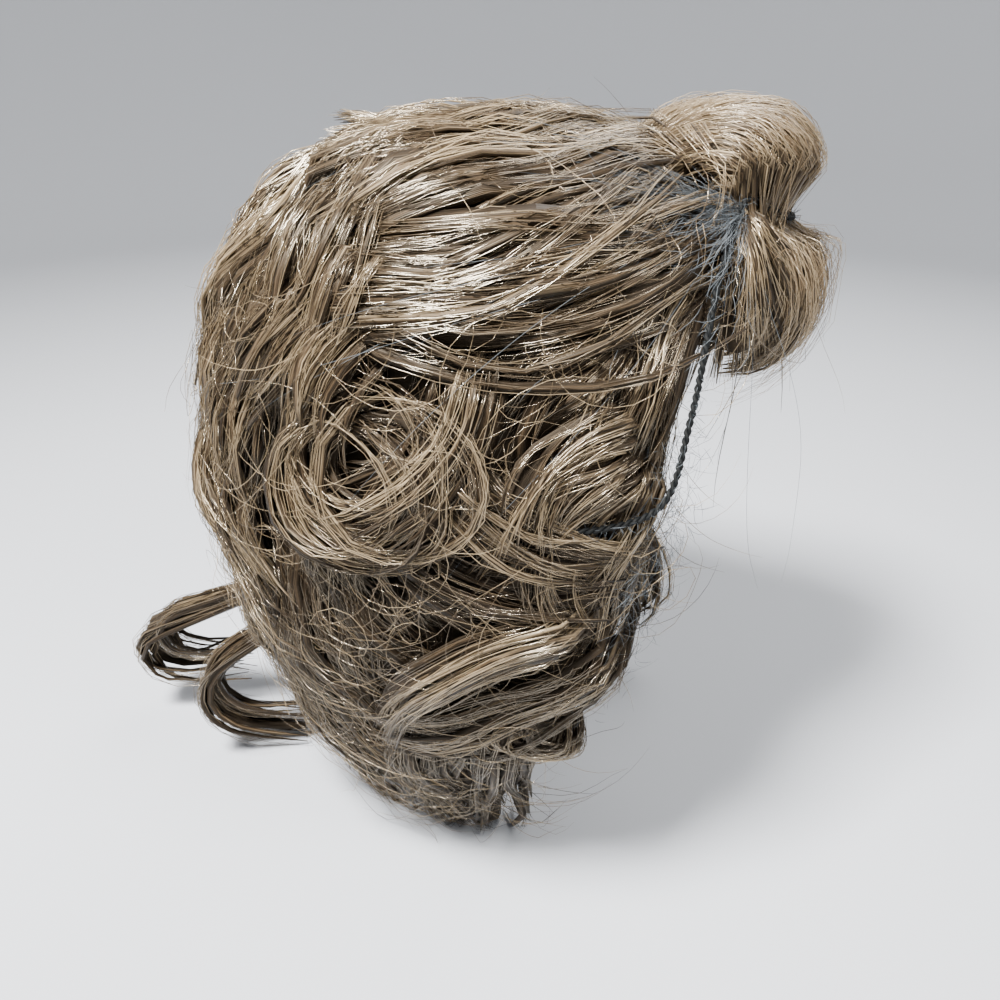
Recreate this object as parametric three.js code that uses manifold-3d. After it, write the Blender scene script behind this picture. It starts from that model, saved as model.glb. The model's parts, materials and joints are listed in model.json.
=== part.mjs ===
// A short curly wig standing on a table on its own lower curls.
// A thin cap carries five groups of hair, and the elastic cord of a hair net pinches the front.
// Every group of hair is a backing that follows the cap, with its locks fused to it.
// Building frame, in millimetres: the table is z = 0, +x is the wearer's left, +y is the back of the head.
import * as THREE from "three";
import { mergeVertices } from "three/addons/utils/BufferGeometryUtils.js";
import Module from "manifold-3d";

const wasm = await Module();
wasm.setup();

// The widest level of the head, and how the hair narrows from there down to the table.
const HEAD_Y = 3;
const HEAD_Z = 145;
const NARROWING = { side: 0.4, end: 0.34, power: 1.5 };

// Half width, half depth and rise of the cap and of the surface that the locks follow.
const CAP = { x: 74, y: 94, z: 106, power: 2 };
const HAIR = { x: 84, y: 105, z: 121, power: 2.6 };
const CAP_WALL = 1.6;
const RIM_CUT_REACH = 10;
const GAP = 0.4;
const SLIVER = 0.05;
const CORD_RADIUS = 0.9;
const TABLE_DEPTH = 30;
const TABLE_SIDE = 600;
const HEAD_ROOM_FLOOR = -8;

const WALK_STEPS = 24;
const LOCK_SIDES = 5;
const LOCK_SPANS = { short: 3, long: 4, tight: 8 };
const SHORT_LOCK = 80;
const TIGHT_BEND = 120;
const CORD_SIDES = 6;
const CORD_STEPS = 40;
const CORD_SHOWN_STEPS = 12;
const TUNNEL_SIDES = 4;

// Azimuth 0 is the front of the head, 90 the wearer's right and 180 the back.
const CAP_RIM = [
  { az: 0, z: 216 },
  { az: 35, z: 208 },
  { az: 54, z: 198 },
  { az: 64, z: 180 },
  { az: 69, z: 140 },
  { az: 74, z: 114 },
  { az: 82, z: 117 },
  { az: 95, z: 128 },
  { az: 115, z: 112 },
  { az: 145, z: 76 },
  { az: 180, z: 70 },
];

// Front edge of the side hair, from the table up.
const SIDE_FRONT = [
  { z: 0, az: 96 },
  { z: 40, az: 87 },
  { z: 80, az: 77 },
  { z: 138, az: 69 },
  { z: 182, az: 64 },
  { z: 240, az: 56 },
];
const SIDE_REAR = 130;

// A backing reaches this far out of the hair surface, between two levels.
const BACKING = {
  crown: { low: 226, lift: 5 },
  fringe: { low: 217, high: 252, lift: 7, halfAngle: 50 },
  side: { low: 15, high: 232, lift: 5 },
  back: { low: 15, high: 232, lift: 5 },
};

// A lock starts at az, z and walks over the hair surface.
// Its heading is 0 downwards and 90 towards the back on the right side, bend is its total turn and
// wave its side to side turn, all in degrees; its middle rises from lift0 to lift1 over the surface.
const LOCK_COLUMNS = [
  "az", "z", "heading", "length", "bend", "wave", "waves", "width", "thick", "lift0", "lift1",
];

const CROWN_LOCKS = table(LOCK_COLUMNS, [
  [180, 256, 180, 128, 0, 8, 1, 26, 16, 12, 8],
  [150, 252, -156, 136, -24, 8, 1, 24, 16, 13, 9],
  [138, 245, -124, 134, -38, 0, 1, 22, 15, 11, 11],
  [128, 237, -100, 130, -46, 0, 1, 20, 15, 10, 12],
  [119, 230, -80, 126, -70, 0, 1, 19, 15, 9, 12],
]);

const SIDE_LOCKS = table(LOCK_COLUMNS, [
  [112, 232, 66, 58, -62, 0, 1, 24, 15, 9, 10],
  [115, 210, 90, 134, -340, 0, 1, 15, 14, 13, 10],
  [96, 222, 0, 66, 62, 0, 1, 22, 14, 8, 12],
  [70, 204, 100, 50, -95, 0, 1, 16, 13, 10, 12],
  [69, 192, 95, 72, -130, 0, 1, 16, 13, 10, 10],
  [98, 190, -38, 72, -45, 0, 1, 20, 14, 10, 10],
  [106, 166, -64, 78, -26, 18, 1, 22, 14, 8, 10],
  [78, 141, 84, 98, -72, 0, 1, 20, 16, 13, 10],
  [71, 131, 36, 105, 30, 0, 1, 20, 15, 10, 8],
  [132, 150, 0, 140, -46, 10, 1, 22, 14, 9, 5],
  [92, 94, -4, 106, 12, 10, 1, 26, 15, 9, 2],
  [110, 84, 0, 100, -14, 10, 1, 24, 14, 9, 2],
  [76, 88, -10, 56, 250, 0, 1, 11, 10, 10, 10],
  [42, 236, 56, 74, -46, 0, 1, 22, 12, 8, 8],
  [63, 190, 10, 66, 20, 10, 1, 18, 12, 7, 7],
]);

// The left side repeats the right one without its smallest curls, each a little off its mirror place,
// and adds a curl that swings forward to the cheek.
const SMALL_LOCK = 17;
const MIRROR_SHIFT = 2;
const CHEEK_LOCK = table(LOCK_COLUMNS, [[282, 124, 58, 122, -66, 0, 1, 26, 16, 8, 20]]);

const BACK_LOCKS = table(LOCK_COLUMNS, [
  [136, 236, 26, 84, -20, 0, 1, 24, 15, 9, 8],
  [151, 238, 10, 104, -10, 25, 1.2, 24, 15, 7, 7],
  [170, 238, 0, 104, 0, -25, 1.2, 28, 15, 6, 6],
  [191, 238, 0, 104, 0, 25, 1.2, 28, 15, 6, 6],
  [212, 238, -10, 104, 10, -25, 1.2, 26, 15, 6, 6],
  [156, 190, 0, 92, -62, 20, 1, 24, 15, 8, 10],
  [148, 140, 0, 156, -12, 14, 1, 26, 14, 8, 4],
  [170, 136, 0, 152, 8, -14, 1, 26, 14, 8, 4],
  [192, 138, 0, 154, -8, 14, 1, 26, 14, 8, 4],
  [214, 140, 0, 156, 12, -14, 1, 26, 14, 8, 4],
]);

// A ringlet leaves the nape at dip degrees under level, and turns by turn between the part start of
// its length and the part RINGLET_TURN_END.
const RINGLET_TURN_END = 0.85;
const RINGLETS = table(["az", "z", "dip", "length", "turn", "start", "drift", "width", "thick"], [
  [184, 92, 26, 160, 165, 0.44, 14, 13, 9],
  [174, 82, 34, 128, 132, 0.22, 4, 14, 10],
]);

// Middle of the front roll: from the crown over the upper roll, in to the pinch, under the lower roll.
const FRINGE_PIVOT_Y = -20;
const FRINGE_PROFILE = [
  { forward: 26, z: 262, thick: 12 },
  { forward: 48, z: 273, thick: 17 },
  { forward: 66, z: 272, thick: 19 },
  { forward: 73, z: 261, thick: 17 },
  { forward: 66, z: 249, thick: 11 },
  { forward: 75, z: 239, thick: 17 },
  { forward: 79, z: 224, thick: 19 },
  { forward: 72, z: 210, thick: 17 },
  { forward: 60, z: 203, thick: 11 },
];
const FRINGE_STEPS = 8;
const FRINGE_LOCKS = table(["yaw", "forward", "rise", "width"], [
  [-40, -9, 1, 28],
  [-20, -2, 1, 28],
  [0, 0, 2, 28],
  [20, -1, 1, 28],
  [40, -8, 0, 28],
]);

// Right half of the net's elastic cord where it shows, from the front of the pinch to where it goes
// under the curls, and the azimuths and levels of its way round the back, inside the backing.
const CORD_SHOWN = [
  [0, -96, 249],
  [-24, -86, 253],
  [-41, -68, 260],
  [-55, -60, 242],
  [-77, -51, 205],
  [-88, -43, 183],
  [-93, -26, 178],
  [-92, -8, 177],
];
const CORD_HIDDEN = [
  { az: 102, z: 174 },
  { az: 122, z: 168 },
  { az: 152, z: 161 },
  { az: 180, z: 158 },
];
const CORD_INSET = 4;

// Valley that the cord presses into the hair.
const VALLEY_RADIUS = 5;
const VALLEY_SIDES = 6;

const HAIR_FINISH = { color: 0x8c7350, roughness: 0.6, metalness: 0 };
const CAP_FINISH = { color: 0x5a4936, roughness: 0.9, metalness: 0 };
const CORD_FINISH = { color: 0x1d222c, roughness: 0.8, metalness: 0 };

function table(columns, rows) {
  return rows.map((row) => Object.fromEntries(columns.map((name, i) => [name, row[i]])));
}

function radians(degrees) {
  return (degrees * Math.PI) / 180;
}

// Value of a column at a position, straight between the rows of a table sorted by that position.
function between(rows, position, value, at) {
  const last = rows.findIndex((row) => row[position] >= at);
  if (last === 0) return rows[0][value];
  if (last < 0) return rows[rows.length - 1][value];
  const [a, b] = [rows[last - 1], rows[last]];
  const share = (at - a[position]) / (b[position] - a[position]);
  return a[value] + share * (b[value] - a[value]);
}

function grown(axes, by) {
  return { x: axes.x + by, y: axes.y + by, z: axes.z + by, power: axes.power };
}

function narrowed(z) {
  const drop = Math.max(0, (HEAD_Z - z) / HEAD_Z) ** NARROWING.power;
  return { x: 1 - NARROWING.side * drop, y: 1 - NARROWING.end * drop };
}

// Point of a head form: a rounded dome above the widest level and a narrowing skirt under it.
function formPoint(axes, az, z) {
  const rise = Math.min(1, Math.max(0, (z - HEAD_Z) / axes.z));
  const share = (1 - rise ** axes.power) ** (1 / axes.power);
  const skirt = narrowed(z);
  return new THREE.Vector3(
    -Math.sin(radians(az)) * axes.x * share * skirt.x,
    -Math.cos(radians(az)) * axes.y * share * skirt.y + HEAD_Y,
    z,
  );
}

// Nearest point of the hair surface, along a ray from the head's middle above and level below.
function ontoHair(p) {
  const q = new THREE.Vector3(p.x, p.y - HEAD_Y, p.z - HEAD_Z);
  if (q.z >= 0) {
    const level = Math.hypot(q.x / HAIR.x, q.y / HAIR.y);
    const size = (level ** HAIR.power + (q.z / HAIR.z) ** HAIR.power) ** (1 / HAIR.power);
    q.divideScalar(size);
  } else {
    const skirt = narrowed(p.z);
    const size = Math.hypot(q.x / (HAIR.x * skirt.x), q.y / (HAIR.y * skirt.y));
    q.x /= size;
    q.y /= size;
  }
  return new THREE.Vector3(q.x, q.y + HEAD_Y, q.z + HEAD_Z);
}

// Outward normal of the hair surface, the gradient of its dome or skirt.
function hairNormal(p) {
  const x = p.x;
  const y = p.y - HEAD_Y;
  const rise = (p.z - HEAD_Z) / HAIR.z;
  if (rise >= 0) {
    const level = Math.hypot(x / HAIR.x, y / HAIR.y) ** (HAIR.power - 2);
    const up = rise ** (HAIR.power - 1) / HAIR.z;
    return new THREE.Vector3((level * x) / HAIR.x ** 2, (level * y) / HAIR.y ** 2, up).normalize();
  }
  const skirt = narrowed(p.z);
  const drop = (HEAD_Z - p.z) / HEAD_Z;
  const slope = (NARROWING.power * drop ** (NARROWING.power - 1)) / HEAD_Z;
  const sideLean = (x ** 2 / (HAIR.x ** 2 * skirt.x ** 3)) * NARROWING.side * slope;
  const endLean = (y ** 2 / (HAIR.y ** 2 * skirt.y ** 3)) * NARROWING.end * slope;
  return new THREE.Vector3(
    x / (HAIR.x * skirt.x) ** 2,
    y / (HAIR.y * skirt.y) ** 2,
    -sideLean - endLean,
  ).normalize();
}

function solidFrom(points, triangles) {
  const vertProperties = new Float32Array(points.flatMap((p) => [p.x, p.y, p.z]));
  const mesh = new wasm.Mesh({ numProp: 3, vertProperties, triVerts: new Uint32Array(triangles.flat()) });
  const solid = new wasm.Manifold(mesh);
  if (solid.volume() > 0) return solid;
  const turned = triangles.map(([a, b, c]) => [a, c, b]);
  mesh.triVerts = new Uint32Array(turned.flat());
  return new wasm.Manifold(mesh);
}

// Closed solid through rings of equal count, with a point at each end, or joined end to start.
function throughRings(rings, ends) {
  const count = rings[0].length;
  const points = rings.flat();
  const triangles = [];
  const closed = ends === undefined;
  const spans = closed ? rings.length : rings.length - 1;
  for (let i = 0; i < spans; i += 1) {
    const low = i * count;
    const high = ((i + 1) % rings.length) * count;
    for (let k = 0; k < count; k += 1) {
      const next = (k + 1) % count;
      triangles.push([low + k, low + next, high + next], [low + k, high + next, high + k]);
    }
  }
  if (!closed) {
    const top = (rings.length - 1) * count;
    const first = points.push(ends[0]) - 1;
    const last = points.push(ends[1]) - 1;
    for (let k = 0; k < count; k += 1) {
      const next = (k + 1) % count;
      triangles.push([first, next, k], [last, top + k, top + next]);
    }
  }
  return solidFrom(points, triangles);
}

// Filled head form from a lower edge up to its pole.
const CAP_MESH = { sides: 22, rows: 6 };
const CROWN_MESH = { sides: 18, rows: 4 };

function bowl(axes, lowAt, { sides, rows }) {
  const rings = [];
  for (let row = 0; row < rows; row += 1) {
    const ring = [];
    for (let k = 0; k < sides; k += 1) {
      const az = (360 * k) / sides;
      const low = lowAt(az);
      const turn = Math.sin(radians((90 * row) / rows));
      ring.push(formPoint(axes, az, low + (HEAD_Z + axes.z - low) * turn));
    }
    rings.push(ring);
  }
  const lowest = rings[0].reduce((sum, p) => sum + p.z, 0) / sides;
  const bottom = new THREE.Vector3(0, HEAD_Y, lowest);
  return throughRings(rings, [bottom, new THREE.Vector3(0, HEAD_Y, HEAD_Z + axes.z)]);
}

// Block between two azimuths and two levels, from inside the cap out to the lifted hair surface.
const SECTOR_COLUMNS = 5;
const SECTOR_ROWS = 5;
const SECTOR_DEPTH = 12;

function sector(low, high, lift, startAt, endAt, grow) {
  const outside = grown(HAIR, lift + grow);
  const inside = grown(CAP, -SECTOR_DEPTH);
  const widen = (grow / HAIR.x) * (180 / Math.PI);
  const rings = [];
  for (let row = 0; row <= SECTOR_ROWS; row += 1) {
    const z = low - grow + ((high - low + 2 * grow) * row) / SECTOR_ROWS;
    const start = startAt(z) - widen;
    const step = (endAt(z) + widen - start) / SECTOR_COLUMNS;
    const azimuths = Array.from({ length: SECTOR_COLUMNS + 1 }, (_, k) => start + step * k);
    const outer = azimuths.map((az) => formPoint(outside, az, z));
    const inner = azimuths.map((az) => formPoint(inside, az, z)).reverse();
    rings.push([...outer, ...inner]);
  }
  return withEnds(rings);
}

// Stations of a lock: its middle, the outward normal and the way it runs.
function walk(lock) {
  let p = formPoint(HAIR, lock.az, lock.z);
  let normal = hairNormal(p);
  const down = new THREE.Vector3(0, 0, -1).projectOnPlane(normal).normalize();
  const aft = down.clone().cross(normal);
  const heading = radians(lock.heading);
  let along = down.multiplyScalar(Math.cos(heading)).addScaledVector(aft, Math.sin(heading));
  const turnAt = (s) => radians(lock.bend * s + lock.wave * Math.sin(2 * Math.PI * lock.waves * s));
  const stations = [];
  for (let i = 0; i <= WALK_STEPS; i += 1) {
    const s = i / WALK_STEPS;
    const lift = lock.lift0 + (lock.lift1 - lock.lift0) * s;
    stations.push({ s, middle: p.clone().addScaledVector(normal, lift), normal, along });
    along = along.clone().applyAxisAngle(normal, turnAt(s) - turnAt(s + 1 / WALK_STEPS));
    p = ontoHair(p.clone().addScaledVector(along, lock.length / WALK_STEPS));
    normal = hairNormal(p);
    along = along.clone().projectOnPlane(normal).normalize();
  }
  return stations;
}

// Stations of a ringlet, which turns in the upright plane that points away from the nape.
function fling(ringlet) {
  const p = formPoint(HAIR, ringlet.az, ringlet.z);
  const out = hairNormal(p).setZ(0).normalize();
  const side = out.clone().cross(new THREE.Vector3(0, 0, 1));
  const stations = [];
  for (let i = 0; i <= WALK_STEPS; i += 1) {
    const s = i / WALK_STEPS;
    const eased = THREE.MathUtils.smoothstep(s, ringlet.start, RINGLET_TURN_END);
    const pitch = radians(ringlet.dip + ringlet.turn * eased);
    const along = out.clone().multiplyScalar(Math.cos(pitch)).setZ(-Math.sin(pitch));
    const normal = side.clone().cross(along).normalize();
    stations.push({ s, middle: p.clone(), normal, along });
    p.addScaledVector(along, ringlet.length / WALK_STEPS);
    p.addScaledVector(side, ringlet.drift / WALK_STEPS);
  }
  return stations;
}

// Width of a lock along its length, as a share of its full width: part of a half wave, made fuller.
const SWELL = { start: 0.18, run: 0.72, power: 0.7 };

function swell(s) {
  return Math.sin(Math.PI * (SWELL.start + SWELL.run * s)) ** SWELL.power;
}

// Solid of oval sections across the stations, with grow added all round.
function lockSolid(stations, widthAt, thickAt, grow) {
  const rings = stations.map(({ s, middle, normal, along }) => {
    const side = along.clone().cross(normal);
    return Array.from({ length: LOCK_SIDES }, (_, k) => {
      const turn = (2 * Math.PI * k) / LOCK_SIDES;
      return middle
        .clone()
        .addScaledVector(side, Math.cos(turn) * (widthAt(s) / 2 + grow))
        .addScaledVector(normal, Math.sin(turn) * (thickAt(s) / 2 + grow));
    });
  });
  const first = stations[0];
  const last = stations[stations.length - 1];
  const ends = [
    first.middle.clone().addScaledVector(first.along, -grow),
    last.middle.clone().addScaledVector(last.along, grow),
  ];
  return throughRings(rings, ends);
}

function curl(lock, grow) {
  const plain = lock.length < SHORT_LOCK ? LOCK_SPANS.short : LOCK_SPANS.long;
  const spans = Math.abs(lock.bend ?? lock.turn) > TIGHT_BEND ? LOCK_SPANS.tight : plain;
  const all = lock.dip === undefined ? walk(lock) : fling(lock);
  const stations = all.filter((_, i) => (i * spans) % WALK_STEPS === 0);
  return lockSolid(stations, (s) => lock.width * swell(s), (s) => lock.thick * swell(s), grow);
}

// One lock of the front roll: the profile turned to its own direction about the front of the crown.
function fringeCurl(lock, grow) {
  const yaw = radians(lock.yaw);
  const out = new THREE.Vector3(-Math.sin(yaw), -Math.cos(yaw), 0);
  const pivot = new THREE.Vector3(0, FRINGE_PIVOT_Y, 0);
  const knots = FRINGE_PROFILE.map(({ forward, z }) => {
    const p = pivot.clone().addScaledVector(out, forward + lock.forward);
    return p.setZ(z + lock.rise);
  });
  const curve = new THREE.CatmullRomCurve3(knots);
  const side = new THREE.Vector3(Math.cos(yaw), -Math.sin(yaw), 0);
  const stations = [];
  for (let i = 0; i <= FRINGE_STEPS; i += 1) {
    const s = i / FRINGE_STEPS;
    const along = curve.getTangent(s);
    stations.push({ s, middle: curve.getPoint(s), normal: side.clone().cross(along).normalize(), along });
  }
  const rows = FRINGE_PROFILE.map((row, i) => ({ at: i / (FRINGE_PROFILE.length - 1), thick: row.thick }));
  const thickAt = (s) => between(rows, "at", "thick", s);
  return lockSolid(stations, () => lock.width, thickAt, grow);
}

function mirrored(locks) {
  return locks.map((lock, i) => ({
    ...lock,
    az: 360 - lock.az + (i % 2 ? MIRROR_SHIFT : -MIRROR_SHIFT),
    heading: -lock.heading,
    bend: -lock.bend,
    wave: -lock.wave,
  }));
}

function joined(solids) {
  return wasm.Manifold.union(solids);
}

function crownHair(grow) {
  const level = grown(HAIR, BACKING.crown.lift + grow);
  const dome = bowl(level, () => BACKING.crown.low - grow, CROWN_MESH);
  const left = mirrored(CROWN_LOCKS.slice(1));
  return joined([dome, ...[...CROWN_LOCKS, ...left].map((lock) => curl(lock, grow))]);
}

function fringeHair(grow) {
  const { low, high, lift, halfAngle } = BACKING.fringe;
  const backing = sector(low, high, lift, () => -halfAngle, () => halfAngle, grow);
  return joined([backing, ...FRINGE_LOCKS.map((lock) => fringeCurl(lock, grow))]);
}

function sideHair(left, grow) {
  const { low, high, lift } = BACKING.side;
  const front = (z) => between(SIDE_FRONT, "z", "az", z);
  const startAt = left ? () => 360 - SIDE_REAR : front;
  const endAt = left ? (z) => 360 - front(z) : () => SIDE_REAR;
  const broad = SIDE_LOCKS.filter((lock) => lock.width > SMALL_LOCK || lock.length > SHORT_LOCK);
  const locks = left ? [...mirrored(broad), ...CHEEK_LOCK] : SIDE_LOCKS;
  const backing = sector(low, high, lift, startAt, endAt, grow);
  return joined([backing, ...locks.map((lock) => curl(lock, grow))]);
}

function backHair(grow) {
  const { low, high, lift } = BACKING.back;
  const backing = sector(low, high, lift, () => SIDE_REAR, () => 360 - SIDE_REAR, grow);
  return joined([backing, ...[...BACK_LOCKS, ...RINGLETS].map((lock) => curl(lock, grow))]);
}

function onLeft(p) {
  return new THREE.Vector3(-p.x, p.y, p.z);
}

// The cord's whole loop: the shown stretch, the hidden one and both mirrored to the left.
function cordLoop() {
  const shown = CORD_SHOWN.map((p) => new THREE.Vector3(...p));
  const inside = grown(HAIR, -CORD_INSET);
  const half = [...shown, ...CORD_HIDDEN.map(({ az, z }) => formPoint(inside, az, z))];
  const other = half.slice(1, -1).reverse().map(onLeft);
  return new THREE.CatmullRomCurve3([...half, ...other], true);
}

function ringAbout(middle, across, up, radius, sides) {
  return Array.from({ length: sides }, (_, k) => {
    const turn = (2 * Math.PI * k) / sides;
    return middle
      .clone()
      .addScaledVector(across, Math.cos(turn) * radius)
      .addScaledVector(up, Math.sin(turn) * radius);
  });
}

function cordStations() {
  const curve = cordLoop();
  const { normals, binormals, tangents } = curve.computeFrenetFrames(CORD_STEPS, true);
  return Array.from({ length: CORD_STEPS }, (_, i) => ({
    middle: curve.getPointAt(i / CORD_STEPS),
    normal: normals[i],
    binormal: binormals[i],
    along: tangents[i],
  }));
}

function netCord() {
  const rings = cordStations().map(({ middle, normal, binormal }) =>
    ringAbout(middle, normal, binormal, CORD_RADIUS, CORD_SIDES),
  );
  return throughRings(rings);
}

// Closed solid through rings, each end closed at the ring's own middle.
function withEnds(rings) {
  const middleOf = (ring) => {
    const sum = ring.reduce((total, p) => total.add(p), new THREE.Vector3());
    return sum.divideScalar(ring.length);
  };
  return throughRings(rings, [middleOf(rings[0]), middleOf(rings[rings.length - 1])]);
}

// Square way round the back, inside the hair, that clears the round cord.
function cordTunnel() {
  const radius = (CORD_RADIUS + GAP) / Math.cos(Math.PI / TUNNEL_SIDES);
  const hidden = cordStations().slice(CORD_SHOWN_STEPS - 1, CORD_STEPS - CORD_SHOWN_STEPS + 2);
  return withEnds(
    hidden.map(({ middle, normal, binormal }) => ringAbout(middle, normal, binormal, radius, TUNNEL_SIDES)),
  );
}

// Valley above the shown stretch of the cord, its flat bottom just under the cord.
function cordValley() {
  const all = cordStations();
  const shown = [...all.slice(-CORD_SHOWN_STEPS), ...all.slice(0, CORD_SHOWN_STEPS + 1)];
  const rise = VALLEY_RADIUS * Math.cos(Math.PI / VALLEY_SIDES) - CORD_RADIUS - GAP;
  const rings = shown.map(({ middle, along }) => {
    const up = hairNormal(ontoHair(middle)).projectOnPlane(along).normalize();
    const center = middle.clone().addScaledVector(up, rise);
    return ringAbout(center, along.clone().cross(up), up, VALLEY_RADIUS, VALLEY_SIDES);
  });
  return withEnds(rings);
}

// The cap's form carried down past the table.
function headForm(grow) {
  return bowl(grown(CAP, grow), () => HEAD_ROOM_FLOOR, CAP_MESH);
}

function capShell() {
  const rim = (az) => between(CAP_RIM, "az", "z", Math.min(az, 360 - az));
  const wall = headForm(0).subtract(headForm(-CAP_WALL));
  return wall.intersect(bowl(grown(CAP, RIM_CUT_REACH), rim, CAP_MESH));
}

// Everything under the table, which flattens the curls that the wig stands on.
function underTable() {
  const box = new THREE.BoxGeometry(TABLE_SIDE, TABLE_SIDE, TABLE_DEPTH);
  box.translate(0, 0, -TABLE_DEPTH / 2);
  box.deleteAttribute("normal");
  box.deleteAttribute("uv");
  const merged = mergeVertices(box);
  const vertProperties = new Float32Array(merged.attributes.position.array);
  const triVerts = new Uint32Array(merged.index.array);
  return new wasm.Manifold(new wasm.Mesh({ numProp: 3, vertProperties, triVerts }));
}

function largestBody(solid) {
  const bodies = solid.decompose();
  return bodies.reduce((best, body) => (body.volume() > best.volume() ? body : best));
}

function geometryOf(solid) {
  const { vertProperties, triVerts, numProp } = solid.getMesh();
  const geometry = new THREE.BufferGeometry();
  geometry.setAttribute("position", new THREE.BufferAttribute(vertProperties, numProp));
  geometry.setIndex(new THREE.BufferAttribute(triVerts, 1));
  geometry.computeVertexNormals();
  return geometry;
}

function meshOf(name, solid, finish) {
  const mesh = new THREE.Mesh(geometryOf(solid), new THREE.MeshStandardMaterial(finish));
  mesh.name = name;
  return mesh;
}

// Hair groups from the one that lies over its neighbours to the one that they all cover.
const HAIR_GROUPS = [
  { name: "fringe", solid: fringeHair },
  { name: "crown_hair", solid: crownHair },
  { name: "right_side_hair", solid: (grow) => sideHair(false, grow) },
  { name: "left_side_hair", solid: (grow) => sideHair(true, grow) },
  { name: "back_hair", solid: backHair },
];

const wig = new THREE.Group();
wig.name = "short_curly_wig";
wig.add(meshOf("cap", capShell(), CAP_FINISH));
wig.add(meshOf("net_cord", netCord(), CORD_FINISH));

let taken = joined([headForm(GAP), underTable(), cordTunnel(), cordValley()]);
for (const { name, solid } of HAIR_GROUPS) {
  const cut = largestBody(solid(0).subtract(taken));
  wig.add(meshOf(name, cut.simplify(SLIVER), HAIR_FINISH));
  taken = taken.add(solid(GAP));
}

// The origin is the middle of the wig's footprint, on the table.
const bounds = new THREE.Box3().setFromObject(wig);
const middle = bounds.getCenter(new THREE.Vector3());
for (const mesh of wig.children) mesh.position.set(-middle.x, -middle.y, -bounds.min.z);

export default wig;
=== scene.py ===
"""A short curly wig on a table: its cap, five groups of curled hair and the hair net that pinches its front.

Lengths in the tables are millimetres in the building frame: the table is z = 0, +x is the wearer's left
and +y is the back of the head. placed() turns them into metres in the part's own frame.
"""

import json
import bpy
import numpy as np
from bpy.props import FloatProperty, FloatVectorProperty, PointerProperty
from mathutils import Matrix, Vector


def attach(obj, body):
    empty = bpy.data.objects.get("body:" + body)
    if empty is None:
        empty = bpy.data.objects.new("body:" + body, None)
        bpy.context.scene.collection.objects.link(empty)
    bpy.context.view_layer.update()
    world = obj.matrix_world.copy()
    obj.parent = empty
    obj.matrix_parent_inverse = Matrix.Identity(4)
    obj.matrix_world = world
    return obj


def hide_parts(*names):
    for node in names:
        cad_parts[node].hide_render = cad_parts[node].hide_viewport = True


bl_info = {
    "name": "Short curly wig",
    "version": (1, 0, 0),
    "blender": (4, 5, 0),
    "location": "3D View > Sidebar > Wig",
    "description": "Builds the cap, the locks and strands, and the hair net of a short curly wig",
    "category": "Add Mesh",
}

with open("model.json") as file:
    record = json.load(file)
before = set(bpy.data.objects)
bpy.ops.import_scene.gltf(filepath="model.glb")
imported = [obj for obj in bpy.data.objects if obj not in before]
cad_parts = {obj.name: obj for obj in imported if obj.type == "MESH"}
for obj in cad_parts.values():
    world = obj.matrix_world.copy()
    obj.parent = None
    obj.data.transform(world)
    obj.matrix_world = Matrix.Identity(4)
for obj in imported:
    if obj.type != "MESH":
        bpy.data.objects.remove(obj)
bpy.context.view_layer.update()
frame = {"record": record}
BODY = "root"
UV_NAME = "OFBake"
MM = 1000
TINY = 1e-9
DOWN = np.array([0, 0, -1.0])

# The widest level of the head, and how the hair narrows from there down to the table.
HEAD_Y = 3.0
HEAD_Z = 145.0
NARROWING = {"side": 0.4, "end": 0.34, "power": 1.5}

# Half width, half depth and rise of the cap and of the surface that the locks follow.
CAP = {"x": 74.0, "y": 94.0, "z": 106.0, "power": 2.0}
HAIR = {"x": 84.0, "y": 105.0, "z": 121.0, "power": 2.6}
CAP_WALL = 1.6
CAP_GAP = 0.6

# Azimuth 0 is the front of the head, 90 the wearer's right and 180 the back.
CAP_RIM_AZ = [0, 35, 54, 64, 69, 74, 82, 95, 115, 145, 180]
CAP_RIM_Z = [216, 208, 198, 180, 140, 114, 117, 128, 112, 76, 70]

# Front edge of the side hair, from the table up.
SIDE_FRONT_Z = [0, 40, 80, 138, 182, 240]
SIDE_FRONT_AZ = [96, 87, 77, 69, 64, 56]
SIDE_REAR = 130

# The under-hair fills these levels and stands this far out of the hair surface. It is painted near black,
# as the shade deep between the locks.
UNDER = {"low": 15, "high": 232, "lift": 3.5, "crown_low": 226, "fringe_low": 217, "fringe_high": 252}
FRINGE_HALF_ANGLE = 42
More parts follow.
